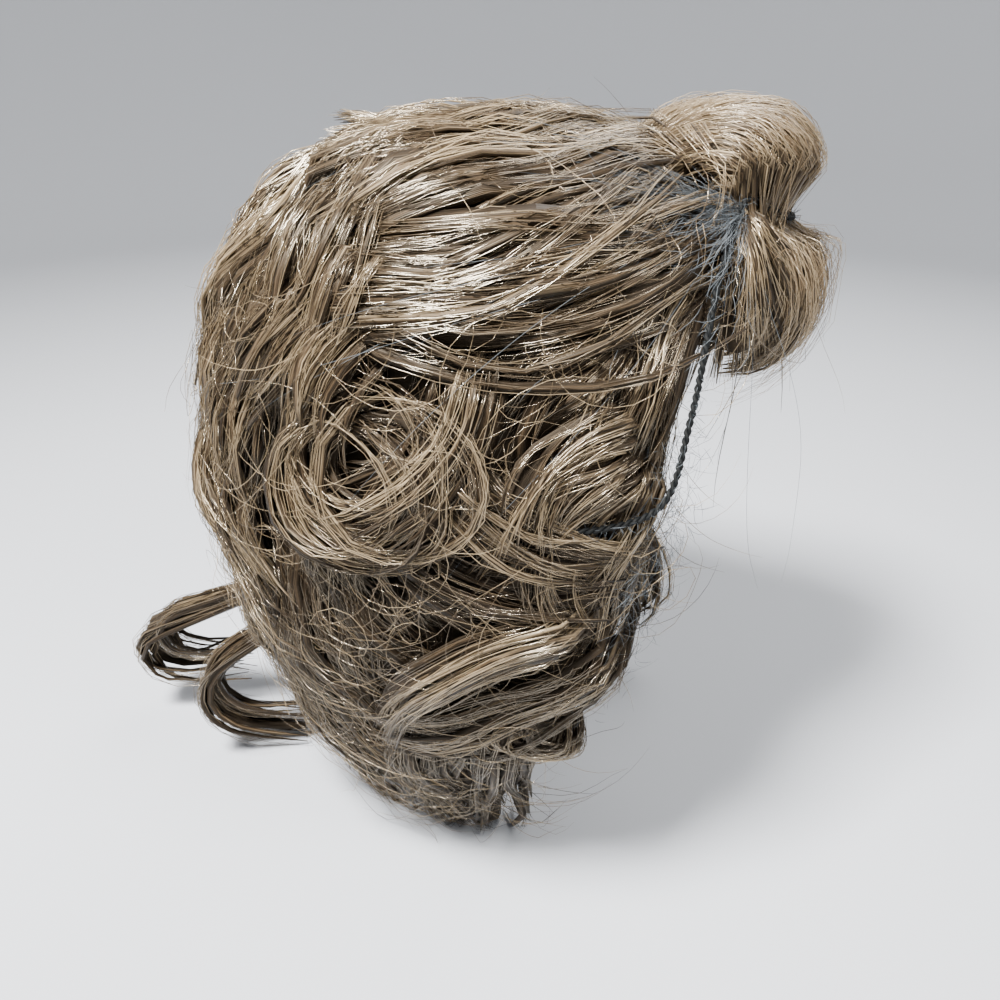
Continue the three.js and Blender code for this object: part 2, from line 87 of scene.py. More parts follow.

# A lock starts at az, z and walks over the hair surface. Its heading is 0 downwards and 90 towards the
# back on the right side, bend is its total turn and wave its side to side turn, all in degrees. Its middle
# rises from lift0 to lift1 over the surface, and its strands wander by loose. The last column is painted
# light and shade in the lock's tone: lighter on locks that catch highlights, darker on the low locks and
# on those in shade under the crown.
WALK_STEPS = 24
LOCK_COLUMNS = "az z heading length bend wave waves width thick lift0 lift1 loose shade".split()
CROWN_LOCKS = [
    [180, 256, 180, 128, 0, 8, 1, 26, 16, 12, 8, 0.9, 0],
    [150, 252, -156, 136, -24, 8, 1, 24, 16, 13, 9, 0.9, 0],
    [138, 245, -124, 134, -38, 0, 1, 22, 15, 11, 11, 0.9, 0],
    [128, 237, -100, 130, -46, 0, 1, 20, 15, 10, 12, 1.1, 0],
    [119, 230, -80, 126, -70, 0, 1, 19, 15, 9, 12, 1.1, 0],
]
SIDE_LOCKS = [
    [112, 232, 66, 58, -62, 0, 1, 24, 15, 9, 10, 0.9, 0.12],
    [115, 210, 90, 134, -340, 0, 1, 17, 14, 13, 10, 0.8, 0.2],
    [96, 222, 0, 66, 62, 0, 1, 22, 14, 8, 12, 1.0, -0.06],
    [70, 204, 100, 50, -95, 0, 1, 16, 13, 10, 12, 0.9, 0.16],
    [69, 192, 95, 72, -130, 0, 1, 16, 13, 10, 10, 0.9, 0.16],
    [98, 190, -38, 62, -45, 0, 1, 20, 14, 10, 10, 0.8, 0.1],
    [106, 166, -64, 68, -26, 18, 1, 22, 14, 8, 10, 0.9, -0.16],
    [78, 141, 84, 98, -72, 0, 1, 20, 16, 13, 10, 0.5, 0.22],
    [71, 131, 36, 105, 30, 0, 1, 20, 15, 10, 8, 0.9, 0],
    [132, 150, 0, 140, -46, 10, 1, 22, 14, 9, 5, 1.0, -0.22],
    [92, 94, -4, 106, 12, 10, 1, 26, 15, 9, 2, 1.0, -0.26],
    [110, 84, 0, 100, -14, 10, 1, 24, 14, 9, 2, 1.0, -0.26],
    [76, 88, -10, 56, 250, 0, 1, 11, 10, 10, 10, 0.8, 0],
    [50, 236, 62, 66, -46, 0, 1, 15, 12, 8, 8, 0.9, -0.05],
    [67, 190, 10, 60, 20, 10, 1, 16, 12, 7, 7, 0.9, -0.05],
]
CHEEK_LOCK = [[282, 124, 58, 122, -66, 0, 1, 26, 16, 8, 20, 0.3, 0]]
BACK_LOCKS = [
    [136, 236, 26, 84, -20, 0, 1, 24, 15, 9, 8, 0.9, 0.16],
    [151, 238, 10, 104, -10, 25, 1.2, 24, 15, 7, 7, 0.9, 0.1],
    [170, 238, 0, 104, 0, -25, 1.2, 28, 15, 6, 6, 1.0, 0],
    [191, 238, 0, 104, 0, 25, 1.2, 28, 15, 6, 6, 1.0, 0],
    [212, 238, -10, 104, 10, -25, 1.2, 26, 15, 6, 6, 1.0, 0],
    [156, 190, 0, 92, -62, 20, 1, 24, 15, 8, 10, 0.9, 0.1],
    [148, 140, 0, 156, -12, 14, 1, 26, 14, 8, 4, 1.0, 0],
    [170, 136, 0, 152, 8, -14, 1, 26, 14, 8, 4, 1.0, 0],
    [192, 138, 0, 154, -8, 14, 1, 26, 14, 8, 4, 1.0, 0],
    [214, 140, 0, 156, 12, -14, 1, 26, 14, 8, 4, 1.0, 0],
]
# Flat locks that lie over the seams between the groups, on the same surface. The left side repeats them.
COVER_LOCKS = {
    "crown": [
        [165, 260, -168, 132, -10, 8, 1, 40, 10, 13, 11, 1.2, 0],
        [144, 249, -140, 134, -30, 4, 1, 34, 10, 13, 11, 1.2, 0],
        [133, 241, -112, 132, -42, 0, 1, 34, 10, 12, 12, 1.2, 0],
        [123, 233, -90, 128, -58, 0, 1, 34, 10, 11, 12, 1.2, 0],
        [172, 262, 0, 110, 0, 14, 1, 36, 11, 13, 8, 1.2, 0.08],
        [162, 263, -8, 104, 22, 8, 1, 30, 10, 12, 8, 1.2, 0.06],
        [189, 264, 6, 22, 10, 0, 1, 10, 6, 12, 20, 0.6, 0.05],
        [150, 262, -20, 100, 60, 0, 1, 32, 11, 13, 9, 1.2, 0.14],
        [140, 258, -30, 95, 75, 0, 1, 30, 11, 13, 10, 1.2, 0.16],
        [128, 250, -20, 64, 62, 0, 1, 26, 11, 12, 10, 1.2, 0.12],
        [119, 243, -6, 46, 50, 0, 1, 22, 11, 12, 10, 1.2, 0],
    ],
    "side": [
        [70, 230, 24, 90, 10, 12, 1, 30, 8, 6, 6, 1.6, 0],
        [48, 244, 72, 76, -36, 0, 1, 22, 9, 5, 5, 1.3, -0.04],
        [56, 234, 82, 64, -14, 0, 1, 24, 9, 5, 6, 1.3, -0.04],
        [95, 226, 20, 60, 70, 0, 1, 24, 9, 3, 4, 1.3, -0.3],
        [118, 180, 20, 70, -60, 0, 1, 26, 9, 5, 5, 1.3, -0.08],
        [124, 164, -10, 90, -40, 10, 1, 28, 9, 5, 5, 1.3, -0.2],
        [112, 150, -20, 80, -50, 10, 1, 28, 9, 5, 5, 1.3, -0.2],
        [120, 130, -6, 100, -30, 10, 1, 28, 9, 5, 4, 1.3, -0.26],
    ],
    "cheek": [
        [282, 102, 62, 118, -138, 50, 0.5, 18, 10, 10, 19, 0.3, 0.45],
        [280, 101, 58, 118, -136, 50, 0.5, 18, 10, 10, 18, 0.3, 0.45],
        [284, 102, 62, 116, -140, 50, 0.5, 16, 10, 10, 20, 0.3, 0.45],
    ],
    "back": [
        [180, 226, 0, 96, 0, 22, 1.2, 30, 10, 8, 9, 1.6, 0],
        [161, 210, 8, 92, -20, -20, 1.2, 30, 10, 8, 9, 1.6, 0.08],
        [140, 196, 6, 92, -24, 18, 1.2, 28, 10, 9, 9, 1.6, 0.14],
        [176, 172, 0, 96, 14, -22, 1.2, 32, 10, 9, 8, 1.6, 0],
        [152, 160, 0, 100, -16, 20, 1.2, 30, 10, 9, 8, 1.6, 0.06],
    ],
}

# The left side repeats the locks that are wider or longer than these, each a little off its mirror place.
SMALL_LOCK = 17
LONG_LOCK = 80
MIRROR_SHIFT = 2

# A lock that bends more than this gets the points of tight strands. A lock rises out of the hair under it
# over its root, and its lift swings in ripples. Locks less loose than LOOSE_ENDS have more even ends.
TIGHT_BEND = 120
ROOT_LIFT = 0.4
ROOT_RUN = 0.15
RIPPLE = 2.3
RIPPLE_LENGTH = 54.0
RIPPLE_TURN = 7.0
LOOSE_ENDS = 0.8

# A ringlet leaves the nape at dip degrees under level and turns by turn after the part start of its length.
RINGLET_COLUMNS = "az z dip length turn start drift width thick loose".split()
RINGLETS = [
    [184, 92, 26, 160, 165, 0.44, 14, 13, 9, 1.3],
    [174, 82, 34, 128, 132, 0.22, 4, 14, 10, 1.3],
]
RINGLET_TURN_END = 0.85

# Middle of the front roll, over the upper roll, in to the pinch and under the lower roll.
FRINGE_PIVOT_Y = -20.0
FRINGE_FORWARD = [26, 48, 66, 73, 66, 75, 79, 72, 60]
FRINGE_Z = [262, 273, 272, 261, 249, 239, 224, 210, 203]
FRINGE_THICK = [12, 17, 19, 17, 11, 17, 19, 17, 11]
FRINGE_YAW = [-40, -20, 0, 20, 40]
FRINGE_YAW_FORWARD = [-9, -2, 0, -1, -8]
FRINGE_YAW_RISE = [1, 1, 2, 1, 0]

# Its strands stand in wisps over the reach of its yaw, from the roots to the tips of three kinds of run.
FRINGE_REACH = 54
FRINGE_WISPS = 46
FRINGE_ROOTS = [0, 0.42, 0]
FRINGE_TIPS = [0.5, 0.93, 0.9]
FRINGE_DEPTHS = {"clump": (0.5, 0.85), "strand": (0.7, 1.05), "stray": (0.95, 1.1)}
FRINGE_CLOSING = 0.5
FRINGE_PROFILE_POINTS = 120

# Towards its ends the roll is drawn in to the pinch, and its ends bow out with a cleft at the crease.
FRINGE_DRAWN = 27
PULL_SHARE = 0.75
PULL_POWER = 1.5
ROLL_BOW_AT = [0, 0.25, 0.45, 0.65, 1]
ROLL_BOW = [0.2, 0.4, 0.1, 0.8, 0.9]
ROLL_BOW_POWER = 0.9
ROLL_SIDE = (-1.0, 0.2, 0)
ROLL_END_DEPTH = 0.72
ROLL_CLEFT = 22
CREASE_SHARE = 0.46
CREASE_SPREAD = 0.14
PINCH_SPREAD = 1.6

# A wisp leaves the lower roll at a share of its run and stands off it by depth.
WISP_SHARE = 0.5
WISP_YAW = 6
WISP_DEPTH = 0.9
WISP_POWER = 1.3

# Right half of the net's elastic cord, from the front of the pinch to where it goes under the curls, and
# the azimuths and levels of its way round the back inside the hair.
CORD_SHOWN = [
    [0, -96, 249],
    [-24, -86, 253],
    [-41, -68, 260],
    [-55, -60, 242],
    [-77, -51, 205],
    [-88, -43, 183],
    [-93, -26, 178],
    [-92, -8, 177],
]
CORD_HIDDEN = [[102, 174], [122, 168], [152, 161], [180, 158]]
CORD_INSET = 4
CORD_POINTS = 140
SPAN_POINTS = 40
PINCH = CORD_SHOWN[2]

# The cord lies in a valley of the hair, and the way out of the hair is worked out from the heart line.
VALLEY_WIDTH = 8.0
VALLEY_DEPTH = 3.0
VALLEY_FADE = 10
VALLEY_REACH = 30
VALLEY_RIM = 20
CORD_HEART = (0, -60, 0)
CORD_OUT = (1, 0.35, 0)
CORD_TIP = (0, 0, 0.4)

# The cord's twisted plies, and the stretch of the map that they repeat.
PLY_STATIONS = 1600
PLIES = 2
PLY_SIDES = 5
PLY_REPEAT = 12
PLY_MAP_START = 0.35
PLY_MAP_RUN = 0.6

# The map runs across columns: one for each tone of single strands, dark to light, then bands of striped
# clumps, dark to light, and last the under-hair, which takes the painted shade colour.
STRAND_TONES = 24
CLUMP_BANDS = 6
BAND_COLUMNS = 3
UNDER_TONES = 6
UNDER_FIRST = STRAND_TONES + CLUMP_BANDS * BAND_COLUMNS
TONES = UNDER_FIRST + UNDER_TONES
STRIPES = 7
END_DISC = 0.4
END_RUN = 0.02
STRAND_SLOT = 0
UNDER_SLOT = 1

# A lock is split into clumps, and each clump carries some single strands.
LOCK_CLUMPS = 20
COVER_CLUMPS = 12
STRAND_COUNTS = {
    "crown": {"clump": 6, "under": 340, "stray": 420},
    "right_side": {"clump": 6, "under": 260, "stray": 420},
    "left_side": {"clump": 6, "under": 220, "stray": 340},
    "back": {"clump": 6, "under": 360, "stray": 460},
}
FRINGE_COUNTS = {"clump": 220, "strand": 900, "stray": 300, "end_clump": 90, "end": 320, "wisp": 70}
NET_COUNTS = {"fan": 380, "fuzz": 560, "veil": 520, "thread": 16}
EDGE_COUNT = 170
STRAND_POINTS = {
    "plain": 8,
    "tight": 14,
    "under": 8,
    "stray": 11,
    "fringe": 14,
    "edge": 9,
    "fan": 5,
    "fuzz": 4,
    "thread": 22,
}
SEEDS = {"crown": 11, "right_side": 12, "left_side": 13, "back": 14, "fringe": 15, "net": 16}

# In these tables a pair is an even chance between two ends, and a single number is the spread of a normal
# chance about 0.
CLUMP_CHANCE = {
    "angle": (-0.3, np.pi + 0.3),
    "reach": (0.12, 1),
    "tone": 0.18,
    "ahead": (-0.09, 0.04),
    "lift": 1.0,
    "heading": 4.5,
    "bend_share": 0.05,
    "bend": 7,
    "wave": 6,
    "waves": 0.2,
    "length": (-0.28, 0.06),
    "width": (0.12, 0.26),
    "thick": (0.12, 0.24),
}
RINGLET_CHANCE = {
    "az": 1.6,
    "z": 1.8,
    "dip": 1.8,
    "length": (0.82, 1.03),
    "turn": 9,
    "drift": 3.5,
    "width": (0.18, 0.34),
    "thick": (0.24, 0.4),
}
STRAND_CHANCE = {
    "root": (0, 0.14),
    "tip": (0.8, 1.05),
    "angle": (0, 2 * np.pi),
    "radius": (0.4, 2.2),
    "tone": 0.16,
}
UNDER_CHANCE = {"length": (34, 70), "lift": (3.5, 7.5), "lean": 0.3}
STRAY_CHANCE = {
    "lean": 0.8,
    "curl": 200,
    "low": (7, 16),
    "up": (2, 10),
    "down": (-4, 3),
    "length": (22, 68),
}
EDGE_CHANCE = {"top": (95, 240), "length": (45, 85), "inward": (0, 4), "lift": (-7, 6)}
FRINGE_CHANCE = {"root": (0, 0.12), "tip": (0, 0.07), "yaw": 3.2}
FRINGE_STRAY_CHANCE = {"lean": 12, "rise": (-1, 5)}
ROLL_CHANCE = {"share": (0.12, 1), "yaw": (26, 46), "bow": (6, 13)}
WISP_CHANCE = {"share": (0.12, 0.3), "yaw": 9, "swing": 8, "rise": (0.4, 1.7)}
FAN_CHANCE = {"heading": 0.45, "bend": 25, "sink": 1.0}
FUZZ_CHANCE = {"angle": (-0.4, np.pi + 0.4), "length": (1.5, 5), "curl": 0.7, "shift": (-2, 2)}
VEIL_CHANCE = {"az": (-5, 5), "lean": 0.3, "bend": 40, "lift": (5, 15), "length": (4, 10)}
WANDER_CHANCE = {"often": (0.6, 2.2), "phase": (0, 2 * np.pi), "size": (0.3, 1)}
# How far strands drift from side to side: azimuth and yaw in degrees, depth in half thicknesses of the
# roll, turn in radians and the others in millimetres.
WANDER_SIZE = {
    "stray": 1.6,
    "edge_az": 1.2,
    "edge_lift": 1.5,
    "fringe_yaw": 3.0,
    "fringe_depth": 0.1,
    "fringe_lean": 4.0,
    "fringe_rise": 1.2,
    "roll_end": 1.2,
    "net_turn": 0.08,
    "net_lift": 0.8,
}

# Mean and spread of the tones of each kind of hair, from 0, dark, to 1, light. The under strands and the
# clumps under the roll ends are painted dark as the shade deep in the hair, and the front roll's strands
# and most of all its near ends are painted light as the highlight on the roll.
TONE_CHANCE = {
    "ringlet": (0.55, 0.15),
    "under": (0.12, 0.12),
    "stray": (0.7, 0.2),
    "edge": (0.45, 0.18),
    "clump": (0.45, 0.15),
    "strand": (0.68, 0.18),
    "end_clump": (0.15, 0.12),
    "end": (0.9, 0.2),
    "wisp": (0.75, 0.18),
    "net": (0.6, 0.2),
}
# Ends of the widths and of the thicknesses of the fringe's clumps.
FRINGE_SIZES = {"clump": ((2.5, 5.5), (1.6, 3.0)), "end_clump": ((1.5, 3), (1, 1.8))}

# A clump's place in its lock's section, and how much lighter the clumps far out in it are: painted light,
# with the clumps deep in the lock painted darker as shade.
CLUMP_ASIDE = 0.46
CLUMP_OUT = 0.42
CLUMP_TONE = 0.46
OUTER_PAINTED_LIGHT = 0.55
OUTER_MIDDLE = 0.5
CLUMP_SIDES = 4
CLUMP_TWIST = 0.5
# Clumps sink under their strands and are painted darker by this much, as the shade between the strands.
CLUMP_PAINTED_SHADE = 0.42
CLUMP_SINK = 1.6
CLUMP_CLEARANCE = 1.4

# A strand twists about its clump and closes in to the tip, and some strands are frizzy.
STRAND_TWIST = 0.8
CLOSING_SHARE = 0.45
CLOSING_POWER = 1.5
FRIZZ_CHANCE = 0.25
FRIZZ_SIZE = 2.4
LOOSE_ROOT = 0.35
LOOSE_RISE = 0.75
LOOSE_OUT = 0.7
FLYING_CHANCE = 0.25
FLYING_POWER = 1.6
FLOW_REACH = 14.0
EDGE_LOWEST = 30
CROWN_AREA = 0.72
REGION_RISE = 15

# Sections: shares of a strand's run and of its full size there, and a tilt that gives every strand a side.
STRAND_SIDES = 3
STRAND_WIDTHS = (0.75, 1.3)
STRAND_TAPER = ([0, 0.12, 0.7, 1], [0.6, 1, 0.95, 0.3])
CLUMP_TAPER = ([0, 0.12, 0.6, 1], [0.55, 1, 0.85, 0.12])
NORMAL_TILT = (0.011, 0.007, 0.005)
SWELL_START = 0.18
SWELL_RUN = 0.72
SWELL_POWER = 0.7
CORE_SHARE = 0.5
CORE_SINK = 0.18
CORE_RUN = (0.02, 0.97)
CORE_SIDES = 10
CORE_POINTS = 17
SECTOR_ROWS = 26
SECTOR_STEPS = 18
CAP_ROWS = 22
CAP_SIDES = 90
CROWN_ROWS = 12
CROWN_SIDES = 60
POLE_SHARE = 0.9995
FLOOR_CLEARANCE = 0.4

# Net threads fan out behind the pinch, start up to about away from it and settle to their lift. The veil's
# fibres lie on both slants along the front edge, most of them near the middle of three levels.
FAN_HEADING = 0.3
FAN_START = 1.5
FAN_LEAN = 0.35
FAN_LENGTH = {"fan": (5, 15), "thread": (100, 180)}
FAN_AWAY = {"fan": 14, "thread": 3}
NET_LIFT = 16.0
NET_SETTLE = 26.0
NET_SINK = 1.5
VEIL_LEVELS = (92, 178, 214)
VEIL_SLANTS = (-0.7, 0.7)

# Finishes: the ranges that the tone group maps to and from, and the values of each surface.
STRIPE_TONES = (-0.3, 0.42)
STREAK_ACROSS = 2.3
STREAK_ALONG = 5.0
STREAK_RANGE = (0.3, 0.7)
STREAK_TONES = (-0.16, 0.16)
STREAK_ROUGHNESS = (-0.06, 0.08)
DARK_TO_MIDDLE = (0.05, 0.5)
MIDDLE_TO_LIGHT = (0.5, 1.0)
ROOT_SHADE_RUN = (0.0, 0.3)
ROOT_SHADE = (0.55, 0.0)
UNDER_DULL = 0.3
CLUMP_DULL = 0.22
RIDGE_STRENGTH = 0.5
HAIR_IOR = 1.75
STRAND_SPECULAR = 1.0
UNDER_SPECULAR = 0.12
SPECULAR_TINT = (1.0, 0.85, 0.64, 1.0)
CORD_FINISH = {"gloss": 0.75, "ridge": 0.0002}
NET_FINISH = {"gloss": 0.5, "ridge": 0.0001}
CAP_ROW_WAVE = {"Scale": 38.0, "Distortion": 0.6, "Detail": 2.0}
CAP_MESH_SCALE = 900.0
CAP_MESH_SHARE = 0.6
CAP_RAMP = (0.2, 0.9)
CAP_GROOVE_SHADE = 0.45
CAP_BUMP = {"Strength": 0.6, "Distance": 0.0006}
CAP_MESH_RANGE = (0, 0.6)
CAP_ROUGHNESS = (0.75, 0.95)

# Camera in the building frame: where it stands and how far it looks down.
CAMERA_AT = (-291.0, 4.6, 302.0)
CAMERA_PITCH = 30.0
CAMERA_LENS = 28.8
CAMERA_SENSOR = 36.0
CAMERA_NEAR = 0.01

# Places and sizes of the lights in metres, and what they point at.
LIGHTS = {
    "key": ((-0.26, 0.26, 0.95), 0.22),
    "fill": ((-0.42, -0.70, 0.95), 0.3),
    "rim": ((0.45, -0.35, 0.85), 0.5),
}
LIGHT_TARGET = (0, 0, 0.16)
SKY_COLOUR = (0.92, 0.95, 1.0, 1)
FLOOR_MIDDLE = 0.001
FLOOR_CURVE_POINTS = 16
FLOOR_SIDES = 96
FLOOR_ROUGHNESS = 0.9


def columns(names, rows):
    """A table as one array for each named column."""
    return dict(zip(names, np.array(rows, float).T))


def head_middle():
    """Where the building frame's x = 0, y = HEAD_Y line stands, from the record's head mount, in metres."""
    mounts = {mount["name"]: mount for mount in frame["record"]["mounts"]}
    return np.array(mounts["head"]["pos_m"][:2])


def placed(points):
    """Building millimetres as metres in the part's frame: a thousandth, moved to the head's middle line."""
    middle = head_middle()
    return np.asarray(points) / MM + np.array([middle[0], middle[1] - HEAD_Y / MM, 0])


def unit(v):
    """v made one long."""
    return v / np.maximum(np.linalg.norm(v, axis=-1, keepdims=True), TINY)


def across(v, normal):
    """Way of v along the surface: v without its share along the normal, one long."""
    return unit(v - normal * np.sum(v * normal, axis=-1, keepdims=True))


def turned(v, normal, angle):
    """v turned about a normal square to it: v cos(angle) + (normal x v) sin(angle)."""
    return v * np.cos(angle)[..., None] + np.cross(normal, v) * np.sin(angle)[..., None]


def grown(axes, by):
    """A form with each half axis longer by the same amount."""
    return {"x": axes["x"] + by, "y": axes["y"] + by, "z": axes["z"] + by, "power": axes["power"]}


def narrowed(z):
    """Shares of width and depth left at a level: 1 - narrowing * (drop / HEAD_Z) ** power."""
    drop = np.clip((HEAD_Z - z) / HEAD_Z, 0, None) ** NARROWING["power"]
    return 1 - NARROWING["side"] * drop, 1 - NARROWING["end"] * drop


def form_point(axes, az, z):
    """Point of a head form: an ellipse at each level, whose size falls as (1 - rise ** p) ** (1 / p)."""
    rise = np.clip((z - HEAD_Z) / axes["z"], 0, 1)
    share = (1 - rise ** axes["power"]) ** (1 / axes["power"])
    skirt_x, skirt_y = narrowed(z)
    turn = np.radians(az)
    x = -np.sin(turn) * axes["x"] * share * skirt_x
    y = -np.cos(turn) * axes["y"] * share * skirt_y + HEAD_Y
    return np.stack(np.broadcast_arrays(x, y, z), -1).astype(float)


def onto_hair(p):
    """Point of the hair surface on the ray from the head's middle, or level with p under the widest level."""
    q = p - np.array([0, HEAD_Y, HEAD_Z])
    level = np.hypot(q[..., 0] / HAIR["x"], q[..., 1] / HAIR["y"])
    rise = np.clip(q[..., 2] / HAIR["z"], 0, None)
    size = np.maximum(level ** HAIR["power"] + rise ** HAIR["power"], TINY) ** (1 / HAIR["power"])
    skirt_x, skirt_y = narrowed(p[..., 2])
    ring = np.maximum(np.hypot(q[..., 0] / (HAIR["x"] * skirt_x), q[..., 1] / (HAIR["y"] * skirt_y)), TINY)
    dome = q / size[..., None]
    skirt = np.stack([q[..., 0] / ring, q[..., 1] / ring, q[..., 2]], -1)
    return np.where(q[..., 2:] >= 0, dome, skirt) + np.array([0, HEAD_Y, HEAD_Z])


def hair_normal(p):
    """Outward normal of the hair surface, the gradient of its dome or of its skirt."""
    x = p[..., 0]
    y = p[..., 1] - HEAD_Y
    rise = np.clip((p[..., 2] - HEAD_Z) / HAIR["z"], 0, None)
    level = np.hypot(x / HAIR["x"], y / HAIR["y"]) ** (HAIR["power"] - 2)
    up = rise ** (HAIR["power"] - 1) / HAIR["z"]
    dome = np.stack([level * x / HAIR["x"] ** 2, level * y / HAIR["y"] ** 2, up], -1)
    skirt_x, skirt_y = narrowed(p[..., 2])
    drop = np.clip((HEAD_Z - p[..., 2]) / HEAD_Z, 0, None)
    slope = NARROWING["power"] * drop ** (NARROWING["power"] - 1) / HEAD_Z
    lean = x**2 / (HAIR["x"] ** 2 * skirt_x**3) * NARROWING["side"] * slope
    lean = lean + y**2 / (HAIR["y"] ** 2 * skirt_y**3) * NARROWING["end"] * slope
    skirt = np.stack([x / (HAIR["x"] * skirt_x) ** 2, y / (HAIR["y"] * skirt_y) ** 2, -lean], -1)
    return unit(np.where(p[..., 2:] >= HEAD_Z, dome, skirt))


def walk(point, along, length, turn, lift):
    """Stations of strands that walk over the hair surface: middles, normals and ways.

    A step turns its way about the normal by the step's share of turn, goes length / steps along it and
    drops back onto the surface; the middle stands lift over the surface.
    """
    steps = turn.shape[1] - 1
    normal = hair_normal(point)
    stations = []
    for step in range(steps + 1):
        stations.append((point + normal * lift[:, step, None], normal, along))
        if step < steps:
            along = turned(along, normal, turn[:, step] - turn[:, step + 1])
            point = onto_hair(point + along * (length / steps)[:, None])
            normal = hair_normal(point)
            along = across(along, normal)
    return [np.stack(parts, 1) for parts in zip(*stations)]


def chances(table, rng, size):
    """A function that draws an array of one size for a name in a table of chances."""
    def draw(name):
        kind = table[name]
        return rng.uniform(*kind, size) if isinstance(kind, tuple) else rng.normal(0, kind, size)

    return draw


def runs(count, points):
    """Shares from 0 to 1 along each of some strands."""
    return np.tile(np.linspace(0, 1, points), (count, 1))


def side_front(z):
    """Azimuth of the front edge of the right side's hair at a level."""
    return np.interp(z, SIDE_FRONT_Z, SIDE_FRONT_AZ)


def side_sign(left):
    """Factors that carry a point of the right side over to the left."""
    return np.array([-1 if left else 1, 1, 1])


def spread_locks(lock, count, rng):
    """Each lock as count clumps, thinner copies of it that stand in its oval section and stray from its run.

    A clump stands at an angle a and a share r of the section: aside by cos(a) * r * width * CLUMP_ASIDE and
    out by sin(a) * r * thick * CLUMP_OUT. Its heading, bend, wave and length differ from the lock's by
    chance.
    """
    clump = {name: np.repeat(value, count) for name, value in lock.items()}
    draw = chances(CLUMP_CHANCE, rng, len(clump["az"]))
    loose = clump["loose"]
    angle = draw("angle")
    reach = np.sqrt(draw("reach"))
    clump["aside"] = np.cos(angle) * reach * clump["width"] * CLUMP_ASIDE
    out = np.sin(angle) * reach * clump["thick"] * CLUMP_OUT
    outer = np.sin(angle) * reach - OUTER_MIDDLE
    # Painted light and shade: the lock's own, and lighter the farther out of the lock the clump stands.
    clump["tone"] = CLUMP_TONE + clump["shade"] + OUTER_PAINTED_LIGHT * outer + draw("tone")
    clump["ahead"] = draw("ahead") * clump["length"]
    clump["lift0"] = clump["lift0"] + out
    clump["lift1"] = clump["lift1"] + out + draw("lift") * loose
    clump["heading"] = clump["heading"] + draw("heading") * loose
    clump["bend"] = clump["bend"] * (1 + draw("bend_share") * loose) + draw("bend") * loose
    clump["wave"] = clump["wave"] + draw("wave") * loose
    clump["waves"] = clump["waves"] + draw("waves") * np.minimum(loose, 1)
    clump["length"] = clump["length"] * (1 + draw("length") * np.clip(loose / LOOSE_ENDS, 0, 1))
    clump["width"] = clump["width"] * draw("width")
    clump["thick"] = clump["thick"] * draw("thick")
    return clump


def lock_bundles(lock):
    """Locks as stations with their sizes. A lock rises out of the hair under it over the first ROOT_RUN.

    Its lift swings by RIPPLE * loose * sin(2 pi distance / RIPPLE_LENGTH + phase), alike in all its clumps.
    """
    point = form_point(HAIR, lock["az"], lock["z"])
    normal = hair_normal(point)
    down = across(DOWN, normal)
    heading = np.radians(lock["heading"])[:, None]
    along = np.cos(heading) * down + np.sin(heading) * np.cross(down, normal)
    still = np.zeros(len(point))
    ahead = lock.get("ahead", still)[:, None]
    aside = lock.get("aside", still)[:, None]
    shift = along * ahead + np.cross(along, normal) * aside
    point = onto_hair(point + shift)
    along = across(along, hair_normal(point))
    share = np.linspace(0, 1, WALK_STEPS + 1)
    swing = np.sin(2 * np.pi * lock["waves"][:, None] * share)
    turn = np.radians(lock["bend"][:, None] * share + lock["wave"][:, None] * swing)
    eased = np.clip(share / ROOT_RUN, 0, 1)
    rooted = ROOT_LIFT + (1 - ROOT_LIFT) * eased * eased * (3 - 2 * eased)
    phase = np.radians(RIPPLE_TURN * (lock["az"] + lock["z"]))[:, None]
    ripple = np.sin(2 * np.pi * lock["length"][:, None] / RIPPLE_LENGTH * share + phase)
    lift = lock["lift0"][:, None] + (lock["lift1"] - lock["lift0"])[:, None] * share
    lift = (lift + RIPPLE * lock["loose"][:, None] * ripple) * rooted
    middle, normal, along = walk(point, along, lock["length"], turn, lift)
    return bundle(middle, normal, along, lock, np.abs(lock["bend"]) > TIGHT_BEND)


def spread_ringlets(ringlet, count, rng):
    """Each ringlet as count clumps that differ from it: a pair scales a number, a spread is added to it."""
    clump = {name: np.repeat(value, count) for name, value in ringlet.items()}
    total = len(clump["az"])
    draw = chances(RINGLET_CHANCE, rng, total)
    for name, kind in RINGLET_CHANCE.items():
        clump[name] = clump[name] * draw(name) if isinstance(kind, tuple) else clump[name] + draw(name)
    clump["tone"] = rng.normal(*TONE_CHANCE["ringlet"], total)
    return clump


def ringlet_bundles(ringlet):
    """Ringlets as stations: each leaves the nape and turns down in an upright plane, its pitch eased in.

    The pitch is dip + turn * e * e * (3 - 2 e), where e runs from 0 at start to 1 at RINGLET_TURN_END.
    """
    root = form_point(HAIR, ringlet["az"], ringlet["z"])
    out = unit(hair_normal(root) * np.array([1, 1, 0]))
    side = np.cross(out, np.array([0, 0, 1.0]))
    share = np.linspace(0, 1, WALK_STEPS + 1)
    start = ringlet["start"][:, None]
    eased = np.clip((share - start) / (RINGLET_TURN_END - start), 0, 1)
    eased = eased * eased * (3 - 2 * eased)
    pitch = np.radians(ringlet["dip"][:, None] + ringlet["turn"][:, None] * eased)[..., None]
    along = out[:, None] * np.cos(pitch) - np.array([0, 0, 1.0]) * np.sin(pitch)
    step = along * ringlet["length"][:, None, None] + side[:, None] * ringlet["drift"][:, None, None]
    gone = np.cumsum(step, 1) - step
    middle = root[:, None] + gone / WALK_STEPS
    normal = unit(np.cross(side[:, None], along))
    return bundle(middle, normal, along, ringlet, np.ones(len(root), bool))


